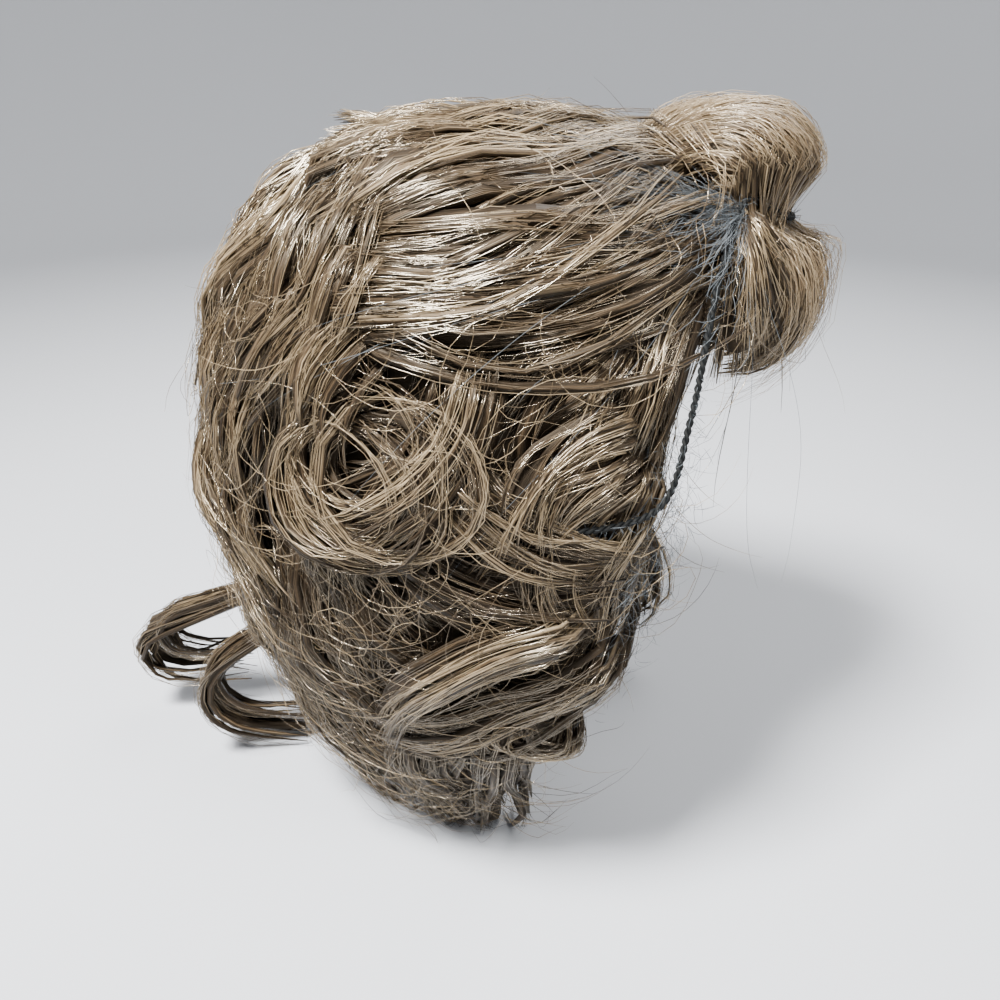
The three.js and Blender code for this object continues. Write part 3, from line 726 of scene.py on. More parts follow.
def bundle(middle, normal, along, sizes, tight):
    """Stations of some locks together with their widths, thicknesses and looseness."""
    return {
        "middle": middle,
        "normal": normal,
        "along": along,
        "width": sizes["width"],
        "thick": sizes["thick"],
        "loose": sizes["loose"],
        "tone": sizes.get("tone", np.zeros(len(middle))),
        "tight": tight,
    }


def joined(*bundles):
    """Several bundles as one."""
    return {key: np.concatenate([one[key] for one in bundles]) for key in bundles[0]}


def chosen(one, keep):
    """The locks of a bundle that a mask keeps."""
    return {key: value[keep] for key, value in one.items()}


def mirrored(rows):
    """Locks of the right side turned over to the left, each a little off its true mirror place."""
    turned_over = []
    for number, row in enumerate(rows):
        shift = MIRROR_SHIFT if number % 2 else -MIRROR_SHIFT
        az, z, heading, length, bend, wave, *rest = row
        turned_over.append([360 - az + shift, z, -heading, length, -bend, -wave, *rest])
    return turned_over


def broad(rows):
    """The locks that the hidden left side repeats."""
    width, length = LOCK_COLUMNS.index("width"), LOCK_COLUMNS.index("length")
    return [row for row in rows if row[width] > SMALL_LOCK or row[length] > LONG_LOCK]


def lock_rows(group):
    """The locks of one group of hair on the head form."""
    return {
        "crown": CROWN_LOCKS + mirrored(CROWN_LOCKS[1:]),
        "right_side": SIDE_LOCKS,
        "left_side": mirrored(broad(SIDE_LOCKS)) + CHEEK_LOCK,
        "back": BACK_LOCKS,
    }[group]


def whole_locks(group):
    """The locks of one group of hair, whole."""
    locks = lock_bundles(columns(LOCK_COLUMNS, lock_rows(group)))
    if group != "back":
        return locks
    return joined(locks, ringlet_bundles(columns(RINGLET_COLUMNS, RINGLETS)))


def cover_rows(group):
    """The flat locks over the seams of one group of hair."""
    both = COVER_LOCKS["crown"]
    side = COVER_LOCKS["side"]
    return {
        "crown": both + mirrored(both),
        "right_side": side,
        "left_side": mirrored(side) + COVER_LOCKS["cheek"],
        "back": COVER_LOCKS["back"] + mirrored(COVER_LOCKS["back"][1:]),
    }[group]


def clump_locks(group, rng):
    """The locks of one group of hair, each split into its clumps."""
    locks = spread_locks(columns(LOCK_COLUMNS, lock_rows(group)), LOCK_CLUMPS, rng)
    covers = spread_locks(columns(LOCK_COLUMNS, cover_rows(group)), COVER_CLUMPS, rng)
    clumps = joined(lock_bundles(locks), lock_bundles(covers))
    if group != "back":
        return clumps
    ringlets = spread_ringlets(columns(RINGLET_COLUMNS, RINGLETS), LOCK_CLUMPS, rng)
    return joined(clumps, ringlet_bundles(ringlets))


def swell(share):
    """Width of a lock along its length: sin(pi * (start + run * share)) ** power."""
    return np.sin(np.pi * (SWELL_START + SWELL_RUN * np.clip(share, 0, 1))) ** SWELL_POWER


def sampled(stations, lock, share):
    """Stations of each strand's lock at given shares of its length, straight between them."""
    place = share * WALK_STEPS
    before = np.clip(np.floor(place).astype(int), 0, WALK_STEPS - 1)
    part = (place - before)[..., None]
    first = stations[lock[:, None], before]
    return first + (stations[lock[:, None], before + 1] - first) * part


def lock_frames(locks, lock, share):
    """Middle, normal and side of each strand's lock at given shares of its length."""
    middle, normal, along = (sampled(locks[key], lock, share) for key in ("middle", "normal", "along"))
    normal = unit(normal)
    return middle, normal, np.cross(unit(along), normal)


def wander(rng, share, size):
    """Slow side to side drift of each strand: size * sin(2 pi f s + phase), with its own f and phase."""
    draw = chances(WANDER_CHANCE, rng, (len(share), 1))
    often = draw("often")
    phase = draw("phase")
    return size * draw("size") * np.sin(2 * np.pi * often * share + phase)


def clump_strands(clumps, per_clump, points, rng):
    """Strands of some clumps: paths, normals and tones.

    A strand stands in its clump's oval section at an angle a and a share r of the radius: the middle +
    side * cos(a) * r * width / 2 + normal * sin(a) * r * thick / 2, and closes in towards the tip.
    """
    count = len(clumps["width"])
    clump = np.repeat(np.arange(count), per_clump)
    draw = chances(STRAND_CHANCE, rng, (clump.size, 1))
    root = draw("root")
    tip = draw("tip")
    share = root + (tip - root) * np.linspace(0, 1, points)
    angle = draw("angle") + rng.normal(0, STRAND_TWIST, count)[clump][:, None] * share
    radius = np.sqrt(draw("radius")) * (1 - CLOSING_SHARE * np.clip(share, 0, 1) ** CLOSING_POWER)
    middle, normal, side = lock_frames(clumps, clump, share)
    frizz = np.where(rng.random((clump.size, 1)) < FRIZZ_CHANCE, FRIZZ_SIZE, 1.0)
    width, thick, loose = (clumps[key][clump][:, None] for key in ("width", "thick", "loose"))
    loose = loose * (LOOSE_ROOT + LOOSE_RISE * share) * frizz
    aside = np.cos(angle) * radius * width / 2 + wander(rng, share, loose)
    out = np.sin(angle) * radius * thick / 2 + wander(rng, share, loose * LOOSE_OUT)
    path = middle + side * aside[..., None] + normal * out[..., None]
    return path, normal, clumps["tone"][clump] + draw("tone")[:, 0]


def flow(point, normal, stations):
    """Way of the hair at a point: the mean way of the near locks, weighted by exp(-d^2 / (2 reach^2))."""
    middle = stations["middle"].reshape(-1, 3)
    along = stations["along"].reshape(-1, 3)
    far = np.sum((point[:, None] - middle) ** 2, -1)
    weight = np.exp(-(far - far.min(1, keepdims=True)) / (2 * FLOW_REACH**2))
    return across(weight @ along, normal)


def under_strands(start, stations, rng):
    """Short strands that lie on the under-hair and follow the flow of the locks round them."""
    points = STRAND_POINTS["under"]
    draw = chances(UNDER_CHANCE, rng, (len(start), 1))
    step = draw("length") / (points - 1)
    lift = draw("lift")
    lean = draw("lean")[:, 0]
    point = start
    path, normals = [], []
    for _ in range(points):
        normal = hair_normal(point)
        along = turned(flow(point, normal, stations), normal, lean)
        path.append(point + normal * lift)
        normals.append(normal)
        point = onto_hair(point + along * step)
    return np.stack(path, 1), np.stack(normals, 1)


def stray_strands(start, stations, rng):
    """Loose strands that curl over the locks at any angle to their flow, some standing off the outline."""
    count = len(start)
    draw = chances(STRAY_CHANCE, rng, (count, 1))
    normal = hair_normal(start)
    along = turned(flow(start, normal, stations), normal, draw("lean")[:, 0])
    share = runs(count, STRAND_POINTS["stray"])
    turn = np.radians(draw("curl") * share)
    low = draw("low")
    rise = np.where(rng.random((count, 1)) < FLYING_CHANCE, draw("up"), draw("down"))
    lift = low + rise * share**FLYING_POWER + wander(rng, share, WANDER_SIZE["stray"])
    path, normals, _ = walk(start, along, draw("length")[:, 0], turn, lift)
    return path, normals


def edge_strands(left, rng):
    """Strands that hang down the front edge of a side, in the depth between the cap and the curls."""
    share = runs(EDGE_COUNT, STRAND_POINTS["edge"])
    draw = chances(EDGE_CHANCE, rng, (EDGE_COUNT, 1))
    top = draw("top")
    z = np.maximum(top - draw("length") * share, EDGE_LOWEST)
    az = side_front(z) + draw("inward")
    az = az + wander(rng, share, WANDER_SIZE["edge_az"])
    point = form_point(HAIR, -az if left else az, z)
    normal = hair_normal(point)
    lift = draw("lift") + wander(rng, share, WANDER_SIZE["edge_lift"])
    return point + normal * lift[..., None], normal


def smooth_curve(knots, count, closed):
    """Points on a centripetal Catmull-Rom curve through knots, equally spaced along it.

    Each span is the Hermite cubic between two knots, whose tangents weigh the chords by their square roots.
    """
    knots = np.asarray(knots, float)
    if closed:
        padded = np.concatenate([knots[-1:], knots, knots[:2]])
    else:
        padded = np.concatenate([2 * knots[:1] - knots[1:2], knots, 2 * knots[-1:] - knots[-2:-1]])
    a, b, c, d = padded[:-3], padded[1:-2], padded[2:-1], padded[3:]
    before, here, after = (np.linalg.norm(q - p, axis=1)[:, None] ** 0.5 for p, q in ((a, b), (b, c), (c, d)))
    leave = ((b - a) / before - (c - a) / (before + here) + (c - b) / here) * here
    arrive = ((c - b) / here - (d - b) / (here + after) + (d - c) / after) * here
    t = np.linspace(0, 1, SPAN_POINTS, endpoint=False)[:, None, None]
    spans = b + leave * t + (3 * (c - b) - 2 * leave - arrive) * t**2 + (2 * (b - c) + leave + arrive) * t**3
    fine = spans.transpose(1, 0, 2).reshape(-1, 3)
    fine = np.concatenate([fine, knots[:1] if closed else knots[-1:]])
    gone = np.concatenate([[0], np.cumsum(np.linalg.norm(np.diff(fine, axis=0), axis=1))])
    wanted = np.linspace(0, gone[-1], count, endpoint=not closed)
    return np.stack([np.interp(wanted, gone, fine[:, axis]) for axis in range(3)], 1)


def cord_path(count):
    """Middle of the net's elastic cord: the shown stretch, the hidden one and both mirrored to the left."""
    az, z = np.array(CORD_HIDDEN, float).T
    hidden = form_point(grown(HAIR, -CORD_INSET), az, z)
    half = np.concatenate([np.array(CORD_SHOWN, float), hidden])
    other = half[-2:0:-1] * side_sign(True)
    return smooth_curve(np.concatenate([half, other]), count, True)


def shown_cord():
    """Points along both shown stretches of the cord, with the way out of the hair there.

    The way out is from the upright line at CORD_HEART, flattened by CORD_OUT and tipped up by CORD_TIP.
    """
    knots = np.array(CORD_SHOWN, float)
    left = knots[:0:-1] * side_sign(True)
    points = smooth_curve(np.concatenate([left, knots]), CORD_POINTS, False)
    out = unit((points - np.array(CORD_HEART)) * np.array(CORD_OUT))
    return points, unit(out + np.array(CORD_TIP))


def pressed(path):
    """Strands pressed under the cord, in a valley that fades out towards its rim.

    At a distance d aside of the cord the valley's floor is width * (d / width)^2 - depth over it, and hair
    over the floor sinks to it by a share of (1 - (d / rim)^2)^2.
    """
    points, ups = shown_cord()
    flat = path.reshape(-1, 3)
    apart = flat[:, None] - points
    height = np.sum(apart * ups, -1)
    aside = np.sqrt(np.clip(np.sum(apart**2, -1) - height**2, 0, None))
    aside = np.where(np.abs(height) < VALLEY_REACH, aside, 2 * VALLEY_RIM)
    nearest = np.argmin(aside, 1)
    every = np.arange(len(flat))
    height, aside, up = height[every, nearest], aside[every, nearest], ups[nearest]
    top = (aside / VALLEY_WIDTH) ** 2 * VALLEY_WIDTH - VALLEY_DEPTH
    from_end = np.minimum(nearest, len(points) - 1 - nearest)
    share = np.clip(1 - (aside / VALLEY_RIM) ** 2, 0, 1) ** 2 * np.clip(from_end / VALLEY_FADE, 0, 1)
    sunk = np.where(share > 0, np.clip(height - top, 0, None) * share, 0)
    return (flat - up * sunk[:, None]).reshape(path.shape)


def on_fringe(share, yaw, depth):
    """Points and normals of the front roll: its profile at a share of its run, turned about the crown by yaw.

    A point stands depth half thicknesses out of the profile, along the profile's normal.
    """
    profile = np.stack([FRINGE_FORWARD, FRINGE_Z, FRINGE_THICK], 1)
    fine = smooth_curve(profile, FRINGE_PROFILE_POINTS, False)
    tangent = unit(np.gradient(fine[:, :2], axis=0))
    row = np.clip(np.round(share * (len(fine) - 1)).astype(int), 0, len(fine) - 1)
    out = depth * fine[row, 2] / 2
    forward = fine[row, 0] + np.interp(yaw, FRINGE_YAW, FRINGE_YAW_FORWARD) - tangent[row, 1] * out
    angle = np.radians(yaw)
    ahead = np.stack([-np.sin(angle), -np.cos(angle), np.zeros_like(angle)], -1)
    point = ahead * forward[..., None] + np.array([0, FRINGE_PIVOT_Y, 0])
    point[..., 2] = fine[row, 1] + np.interp(yaw, FRINGE_YAW, FRINGE_YAW_RISE) + tangent[row, 0] * out
    normal = ahead * -tangent[row, 1][..., None]
    normal[..., 2] = tangent[row, 0]
    return point, unit(normal)


def fringe_paths(count, depths, rng):
    """Paths over the front roll, each on its own yaw and at a depth between two ends.

    A third of them run over the upper roll, a third round the lower roll and a third over both, and towards
    both ends of the roll they are drawn in to the pinch.
    """
    draw = chances(FRINGE_CHANCE, rng, count)
    part = rng.integers(0, len(FRINGE_ROOTS), count)
    root = np.array(FRINGE_ROOTS)[part] + draw("root")
    tip = np.array(FRINGE_TIPS)[part] + draw("tip")
    share = root[:, None] + (tip - root)[:, None] * np.linspace(0, 1, STRAND_POINTS["fringe"])
    middle = rng.uniform(-FRINGE_REACH, FRINGE_REACH, FRINGE_WISPS)[rng.integers(0, FRINGE_WISPS, count)]
    aside = draw("yaw")[:, None] * (1 - FRINGE_CLOSING * share)
    yaw = middle[:, None] + aside + wander(rng, share, WANDER_SIZE["fringe_yaw"])
    depth = rng.uniform(*depths, (count, 1)) + wander(rng, share, WANDER_SIZE["fringe_depth"])
    path, normal = on_fringe(share, yaw, depth)
    knot = np.array(PINCH) * np.stack([np.sign(yaw), np.ones_like(yaw), np.ones_like(yaw)], -1)
    drawn = np.clip((np.abs(yaw) - FRINGE_DRAWN) / (FRINGE_REACH - FRINGE_DRAWN), 0, 1)[..., None]
    return path + (knot - path) * PULL_SHARE * drawn**PULL_POWER, normal


def roll_ends(count, left, rng):
    """Paths that fan out from one pinch over the near end of both rolls, bowed outwards.

    A path is knot + (end - knot) * s + side * bow * sin(pi * s ** power), with its end a little inside the
    roll. Near the crease the ends draw back by a cleft of exp(-((share - crease) / spread)^2).
    """
    over = side_sign(left)
    draw = chances(ROLL_CHANCE, rng, (count, 1))
    share = draw("share")
    cleft = ROLL_CLEFT * np.exp(-(((share - CREASE_SHARE) / CREASE_SPREAD) ** 2))
    yaw = (draw("yaw") - cleft) * over[0]
    end, _ = on_fringe(share, yaw, np.full((count, 1), ROLL_END_DEPTH))
    knot = np.array(PINCH) * over + rng.normal(0, PINCH_SPREAD, (count, 1, 3))
    side = unit(np.array(ROLL_SIDE) * over)
    run = runs(count, STRAND_POINTS["plain"])
    bow = draw("bow") * np.interp(share, ROLL_BOW_AT, ROLL_BOW) * np.sin(np.pi * run**ROLL_BOW_POWER)
    bow = bow + wander(rng, run, WANDER_SIZE["roll_end"])
    path = knot + (end - knot) * run[..., None] + side * bow[..., None]
    return path, np.broadcast_to(side, path.shape)


def roll_wisp(rng):
    """Thin strands that leave the lower roll and curl forward in the air."""
    run = runs(FRINGE_COUNTS["wisp"], STRAND_POINTS["fringe"])
    draw = chances(WISP_CHANCE, rng, (len(run), 1))
    share = WISP_SHARE + draw("share") * run
    yaw = WISP_YAW + draw("yaw") + draw("swing") * run
    depth = WISP_DEPTH + draw("rise") * np.sin(np.pi * run) ** WISP_POWER
    return on_fringe(share, yaw, depth + wander(rng, run, WANDER_SIZE["fringe_depth"]))


def fringe_strays(rng):
    """Loose strands over the front roll: stretches of its paths that lean aside and stand off it."""
    path, normal = fringe_paths(FRINGE_COUNTS["stray"], FRINGE_DEPTHS["stray"], rng)
    side = np.cross(unit(np.gradient(path, axis=1)), normal)
    run = runs(*path.shape[:2])
    draw = chances(FRINGE_STRAY_CHANCE, rng, (len(run), 1))
    lean = draw("lean") * run + wander(rng, run, WANDER_SIZE["fringe_lean"])
    rise = draw("rise") * run**2 + wander(rng, run, WANDER_SIZE["fringe_rise"])
    return path + side * lean[..., None] + normal * rise[..., None], normal


def region_starts(group, count, rng):
    """Random places on the hair surface inside a group's own region."""
    if group == "crown":
        share = np.sqrt(rng.uniform(0, CROWN_AREA, count))
        z = HEAD_Z + HAIR["z"] * (1 - share ** HAIR["power"]) ** (1 / HAIR["power"])
        return form_point(HAIR, rng.uniform(0, 360, count), z)
    z = rng.uniform(UNDER["low"] + REGION_RISE, UNDER["high"], count)
    low, high = (SIDE_REAR, 360 - SIDE_REAR) if group == "back" else (side_front(z), SIDE_REAR)
    az = low + (high - low) * rng.random(count)
    return form_point(HAIR, -az if group == "left_side" else az, z)


def tube_faces(tubes, rings, sides, closed=False):
    """Corner indices of the side faces of tubes that lie one after another, each ring by ring."""
    spans = rings if closed else rings - 1
    tube = np.arange(tubes)[:, None, None] * rings * sides
    ring = np.arange(spans)[None, :, None] * sides
    after = (np.arange(spans)[None, :, None] + 1) % rings * sides
    side = np.arange(sides)[None, None, :]
    beside = (side + 1) % sides
    corners = [tube + ring + side, tube + after + side, tube + after + beside, tube + ring + beside]
    return np.stack(np.broadcast_arrays(*corners), -1).reshape(-1, 4)


def end_faces(tubes, rings, sides):
    """Corner indices of the faces that close both ends of tubes."""
    tube = np.arange(tubes)[:, None] * rings * sides
    side = np.arange(sides)[None, :]
    last = tube + (rings - 1) * sides + side[:, ::-1]
    return np.concatenate([tube + side, last])


def ring_turns(sides):
    """Angles of the corners of a ring, one to a row."""
    return (2 * np.pi * np.arange(sides) / sides)[:, None]


def above_floor(points, clearance):
    """Points lifted to a clearance over the floor where they are lower."""
    return np.concatenate([points[..., :2], np.maximum(points[..., 2:], clearance)], -1)


def tone_uv(column, width, rings, sides):
    """Map places of tube faces: across the tone columns round the tube and from root to tip along it."""
    tubes = len(column)
    side = np.arange(sides)[None, None, :]
    ring = np.arange(rings - 1)[None, :, None]
    column = column[:, None, None]
    start = (column + width * side / sides) / TONES
    end = (column + width * (side + 1) / sides) / TONES
    low = ring / (rings - 1)
    high = (ring + 1) / (rings - 1)
    corners = [(start, low), (start, high), (end, high), (end, low)]
    shape = (tubes, rings - 1, sides)
    uv = [np.stack([np.broadcast_to(u, shape), np.broadcast_to(v, shape)], -1) for u, v in corners]
    side_uv = np.stack(uv, -2).reshape(-1, 4, 2)
    turn = ring_turns(sides)[:, 0]
    disc = np.stack([0.5 + END_DISC * np.cos(turn), 0.5 + END_DISC * np.sin(turn)], -1)
    u = (np.broadcast_to(column[:, :, 0], (tubes, sides)) + disc[:, 0] * width) / TONES
    root = np.stack([u, np.broadcast_to(END_RUN * disc[:, 1], u.shape)], -1)
    tip = np.stack([u, np.broadcast_to(1 - END_RUN * disc[:, 1], u.shape)], -1)
    return side_uv, np.concatenate([root, tip])


def tube_shell(points, column, width, slot):
    """Closed tubes from their rings of corners, with their map places and their material slot."""
    tubes, rings, sides, _ = points.shape
    side_uv, end_uv = tone_uv(column, width, rings, sides)
    faces = [(tube_faces(tubes, rings, sides), side_uv), (end_faces(tubes, rings, sides), end_uv)]
    return {"points": points.reshape(-1, 3), "faces": faces, "slot": slot}


def strand_shell(path, normal, tone, width, rng):
    """Strands as thin three-sided tubes that narrow to their tips, one tone column each."""
    tubes, rings, _ = path.shape
    path = above_floor(path, FLOOR_CLEARANCE)
    along = unit(np.gradient(path, axis=1))
    side = unit(np.cross(along, normal + np.array(NORMAL_TILT)))
    up = np.cross(side, along)
    taper = np.interp(np.linspace(0, 1, rings), *STRAND_TAPER)
    radius = width / 2 * rng.uniform(*STRAND_WIDTHS, (tubes, 1)) * taper
    turn = ring_turns(STRAND_SIDES)
    ring = side[:, :, None] * np.cos(turn) + up[:, :, None] * np.sin(turn)
    points = path[:, :, None] + ring * radius[..., None, None]
    column = np.clip(np.floor(tone * STRAND_TONES), 0, STRAND_TONES - 1)
    return tube_shell(points, column, 1, STRAND_SLOT)


def hair_strands(path, normal, kind, width, rng):
    """Strands of one kind, pressed under the cord, with tones by chance."""
    return strand_shell(pressed(path), normal, rng.normal(*TONE_CHANCE[kind], len(path)), width, rng)


def clump_shell(path, normal, tone, width, thick, rng):
    """Clumps of fine strands as flat oval tubes along paths, striped from root to tip.

    The section is wide * cos(a) * width / 2 + deep * sin(a) * thick / 2, turned slowly about the path, and
    it narrows to the tip.
    """
    tubes, rings, _ = path.shape
    path = above_floor(path, CLUMP_CLEARANCE)
    along = unit(np.gradient(path, axis=1))
    side = unit(np.cross(along, normal))
    up = np.cross(side, along)
    run = np.linspace(0, 1, rings)
    twist = rng.normal(0, CLUMP_TWIST, (tubes, 1)) + rng.normal(0, CLUMP_TWIST, (tubes, 1)) * run
    wide = side * np.cos(twist)[..., None] + up * np.sin(twist)[..., None]
    deep = np.cross(wide, along)
    size = np.interp(run, *CLUMP_TAPER)[:, None, None] / 2
    turn = ring_turns(CLUMP_SIDES)
    ring = wide[:, :, None] * np.cos(turn) * width[:, None, None, None]
    ring = ring + deep[:, :, None] * np.sin(turn) * thick[:, None, None, None]
    points = above_floor(path[:, :, None] + ring * size, FLOOR_CLEARANCE)
    band = np.clip(np.floor(tone * CLUMP_BANDS), 0, CLUMP_BANDS - 1)
    return tube_shell(points, STRAND_TONES + band * BAND_COLUMNS, BAND_COLUMNS, UNDER_SLOT)


def fringe_clumps(path, normal, kind, rng):
    """Clumps of one kind of the fringe, pressed under the cord, with sizes and tones by chance."""
    count = len(path)
    width, thick = (rng.uniform(*ends, count) for ends in FRINGE_SIZES[kind])
    tone = rng.normal(*TONE_CHANCE[kind], count)
    return clump_shell(pressed(path), normal, tone, width, thick, rng)


def core_shell(locks):
    """Heart of each lock, an oval tube a little inside its strands, in the under-hair's painted shade tones.
    """
    count = len(locks["width"])
    share = np.tile(np.linspace(*CORE_RUN, CORE_POINTS), (count, 1))
    middle, normal, side = lock_frames(locks, np.arange(count), share)
    size = CORE_SHARE * swell(share) / 2
    middle = middle - normal * CORE_SINK * locks["thick"][:, None, None]
    wide = (size * locks["width"][:, None])[..., None, None]
    deep = (size * locks["thick"][:, None])[..., None, None]
    turn = ring_turns(CORE_SIDES)
    points = middle[:, :, None] + side[:, :, None] * np.cos(turn) * wide
    points = above_floor(points + normal[:, :, None] * np.sin(turn) * deep, FLOOR_CLEARANCE)
    return tube_shell(points, np.full(count, UNDER_FIRST), UNDER_TONES, UNDER_SLOT)


def upright(az):
    """An edge of the under-hair that keeps one azimuth at every level."""
    return lambda z: np.full_like(z, az)


def sector_shell(low, high, start, end):
    """Under-hair between two edges and two levels, from just off the cap out to the lifted hair surface."""
    z = np.linspace(low, high, SECTOR_ROWS)[:, None]
    first, last = start(z), end(z)
    az = first + (last - first) * np.linspace(0, 1, SECTOR_STEPS)
    outer = form_point(grown(HAIR, UNDER["lift"]), az, z)
    inner = form_point(grown(CAP, CAP_GAP), az, z)[:, ::-1]
    points = np.concatenate([outer, inner], 1)
    sides = 2 * SECTOR_STEPS
    side_uv, _ = tone_uv(np.array([UNDER_FIRST]), UNDER_TONES, SECTOR_ROWS, sides)
    corner = np.arange(SECTOR_STEPS - 1)
    bottom = np.stack([corner, corner + 1, sides - 2 - corner, sides - 1 - corner], -1)
    top = bottom[:, ::-1] + (SECTOR_ROWS - 1) * sides
    lid_uv = np.broadcast_to(side_uv[0], (len(corner) * 2, 4, 2))
    return {
        "points": points.reshape(-1, 3),
        "faces": [(tube_faces(1, SECTOR_ROWS, sides), side_uv), (np.concatenate([bottom, top]), lid_uv)],
        "slot": UNDER_SLOT,
    }


def dome_shell(outer, inner, low, rows, sides, slot):
    """Closed shell of two domes that share a rim: down the inner one from its pole, then up the outer one."""
    az = np.linspace(0, 360, sides, endpoint=False)
    rise = np.sin(np.linspace(0, np.pi / 2, rows))[:, None] * POLE_SHARE
    edge = low(az)
    inside = form_point(inner, az, edge + (HEAD_Z + inner["z"] - edge) * rise[::-1])
    outside = form_point(outer, az, edge + (HEAD_Z + outer["z"] - edge) * rise)
    points = np.concatenate([inside, outside])[None]
    return tube_shell(points, np.array([UNDER_FIRST]), UNDER_TONES, slot)


def make_piece(name, shells, *materials):
    """One object from shells of points and faces in the building frame, put into its mesh as whole arrays."""
    points = np.concatenate([shell["points"] for shell in shells])
    if not np.isfinite(points).all():
        raise RuntimeError(f"{name} has a point with no place")
    first = np.cumsum([0] + [len(shell["points"]) for shell in shells])
    faces = [(corners + start, uv) for shell, start in zip(shells, first) for corners, uv in shell["faces"]]
    slots = [shell["slot"] for shell in shells for _ in shell["faces"]]
    corner_count = np.concatenate([np.full(len(corners), corners.shape[1]) for corners, _ in faces])
    corners = np.concatenate([corners.ravel() for corners, _ in faces])
    uv = np.concatenate([uv.reshape(-1, 2) for _, uv in faces])
    mesh = bpy.data.meshes.new(name)
    mesh.vertices.add(len(points))
    mesh.vertices.foreach_set("co", placed(points).astype(np.float32).ravel())
    mesh.loops.add(len(corners))
    mesh.loops.foreach_set("vertex_index", corners.astype(np.int32))
    mesh.polygons.add(len(corner_count))
    mesh.polygons.foreach_set("loop_start", (np.cumsum(corner_count) - corner_count).astype(np.int32))
    mesh.update(calc_edges=True)
    mesh.uv_layers.new(name=UV_NAME).uv.foreach_set("vector", uv.astype(np.float32).ravel())
    mesh.shade_smooth()
    slot = np.concatenate([np.full(len(corners), number) for (corners, _), number in zip(faces, slots)])
    mesh.polygons.foreach_set("material_index", slot.astype(np.int32))
    for material in materials:
        mesh.materials.append(material)
    piece = bpy.data.objects.new(name, mesh)
    bpy.context.scene.collection.objects.link(piece)
    return piece


def finish_piece(piece, slot, *nodes):
    """Rides a piece on the body and hides the solids it stands for. The name of its finish is not used."""
    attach(piece, BODY)
    if nodes:
        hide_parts(*nodes)


def add_node(tree, kind, **inputs):
    """A shader node with some of its inputs set, each named for its socket with _ for a space."""
    made = tree.nodes.new(kind)
    for name, value in inputs.items():
        made.inputs[name.replace("_", " ")].default_value = value
    return made


def math_node(tree, operation, first, second=None):
    """Result of a Math node on sockets or numbers."""
    made = tree.nodes.new("ShaderNodeMath")
    made.operation = operation
    for socket, value in zip(made.inputs, (first, second)):
        if isinstance(value, (int, float)):
            socket.default_value = value
        elif value is not None:
            tree.links.new(value, socket)
    return made.outputs[0]


def colour_mix(tree, share, first, second):
    """Result of a colour Mix node on sockets."""
    made = tree.nodes.new("ShaderNodeMix")
    made.data_type = "RGBA"
    colours = [socket for socket in made.inputs if socket.type == "RGBA"]
    tree.links.new(share, made.inputs["Factor"])
    tree.links.new(first, colours[0])
    tree.links.new(second, colours[1])
    return next(socket for socket in made.outputs if socket.type == "RGBA")


def ranged(tree, value, given, wanted):
    """value carried from one range to another and held at its ends."""
    made = tree.nodes.new("ShaderNodeMapRange")
    for socket, number in zip(("From Min", "From Max", "To Min", "To Max"), (*given, *wanted)):
        made.inputs[socket].default_value = number
    tree.links.new(value, made.inputs["Value"])
    return made.outputs["Result"]


def tone_sockets(tree):
    """Adds the tone group's named inputs and outputs, and gives its input and output nodes."""
    sockets = [("Map", "INPUT", "Vector")]
    sockets += [(colour, "INPUT", "Color") for colour in ("Dark", "Middle", "Light", "Under")]
    sockets += [("Gloss", "INPUT", "Float"), ("Colour", "OUTPUT", "Color")]
    sockets += [("Roughness", "OUTPUT", "Float"), ("Ridge", "OUTPUT", "Float")]
    for name, way, kind in sockets:
        tree.interface.new_socket(name, in_out=way, socket_type="NodeSocket" + kind)
    return tree.nodes.new("NodeGroupInput"), tree.nodes.new("NodeGroupOutput")


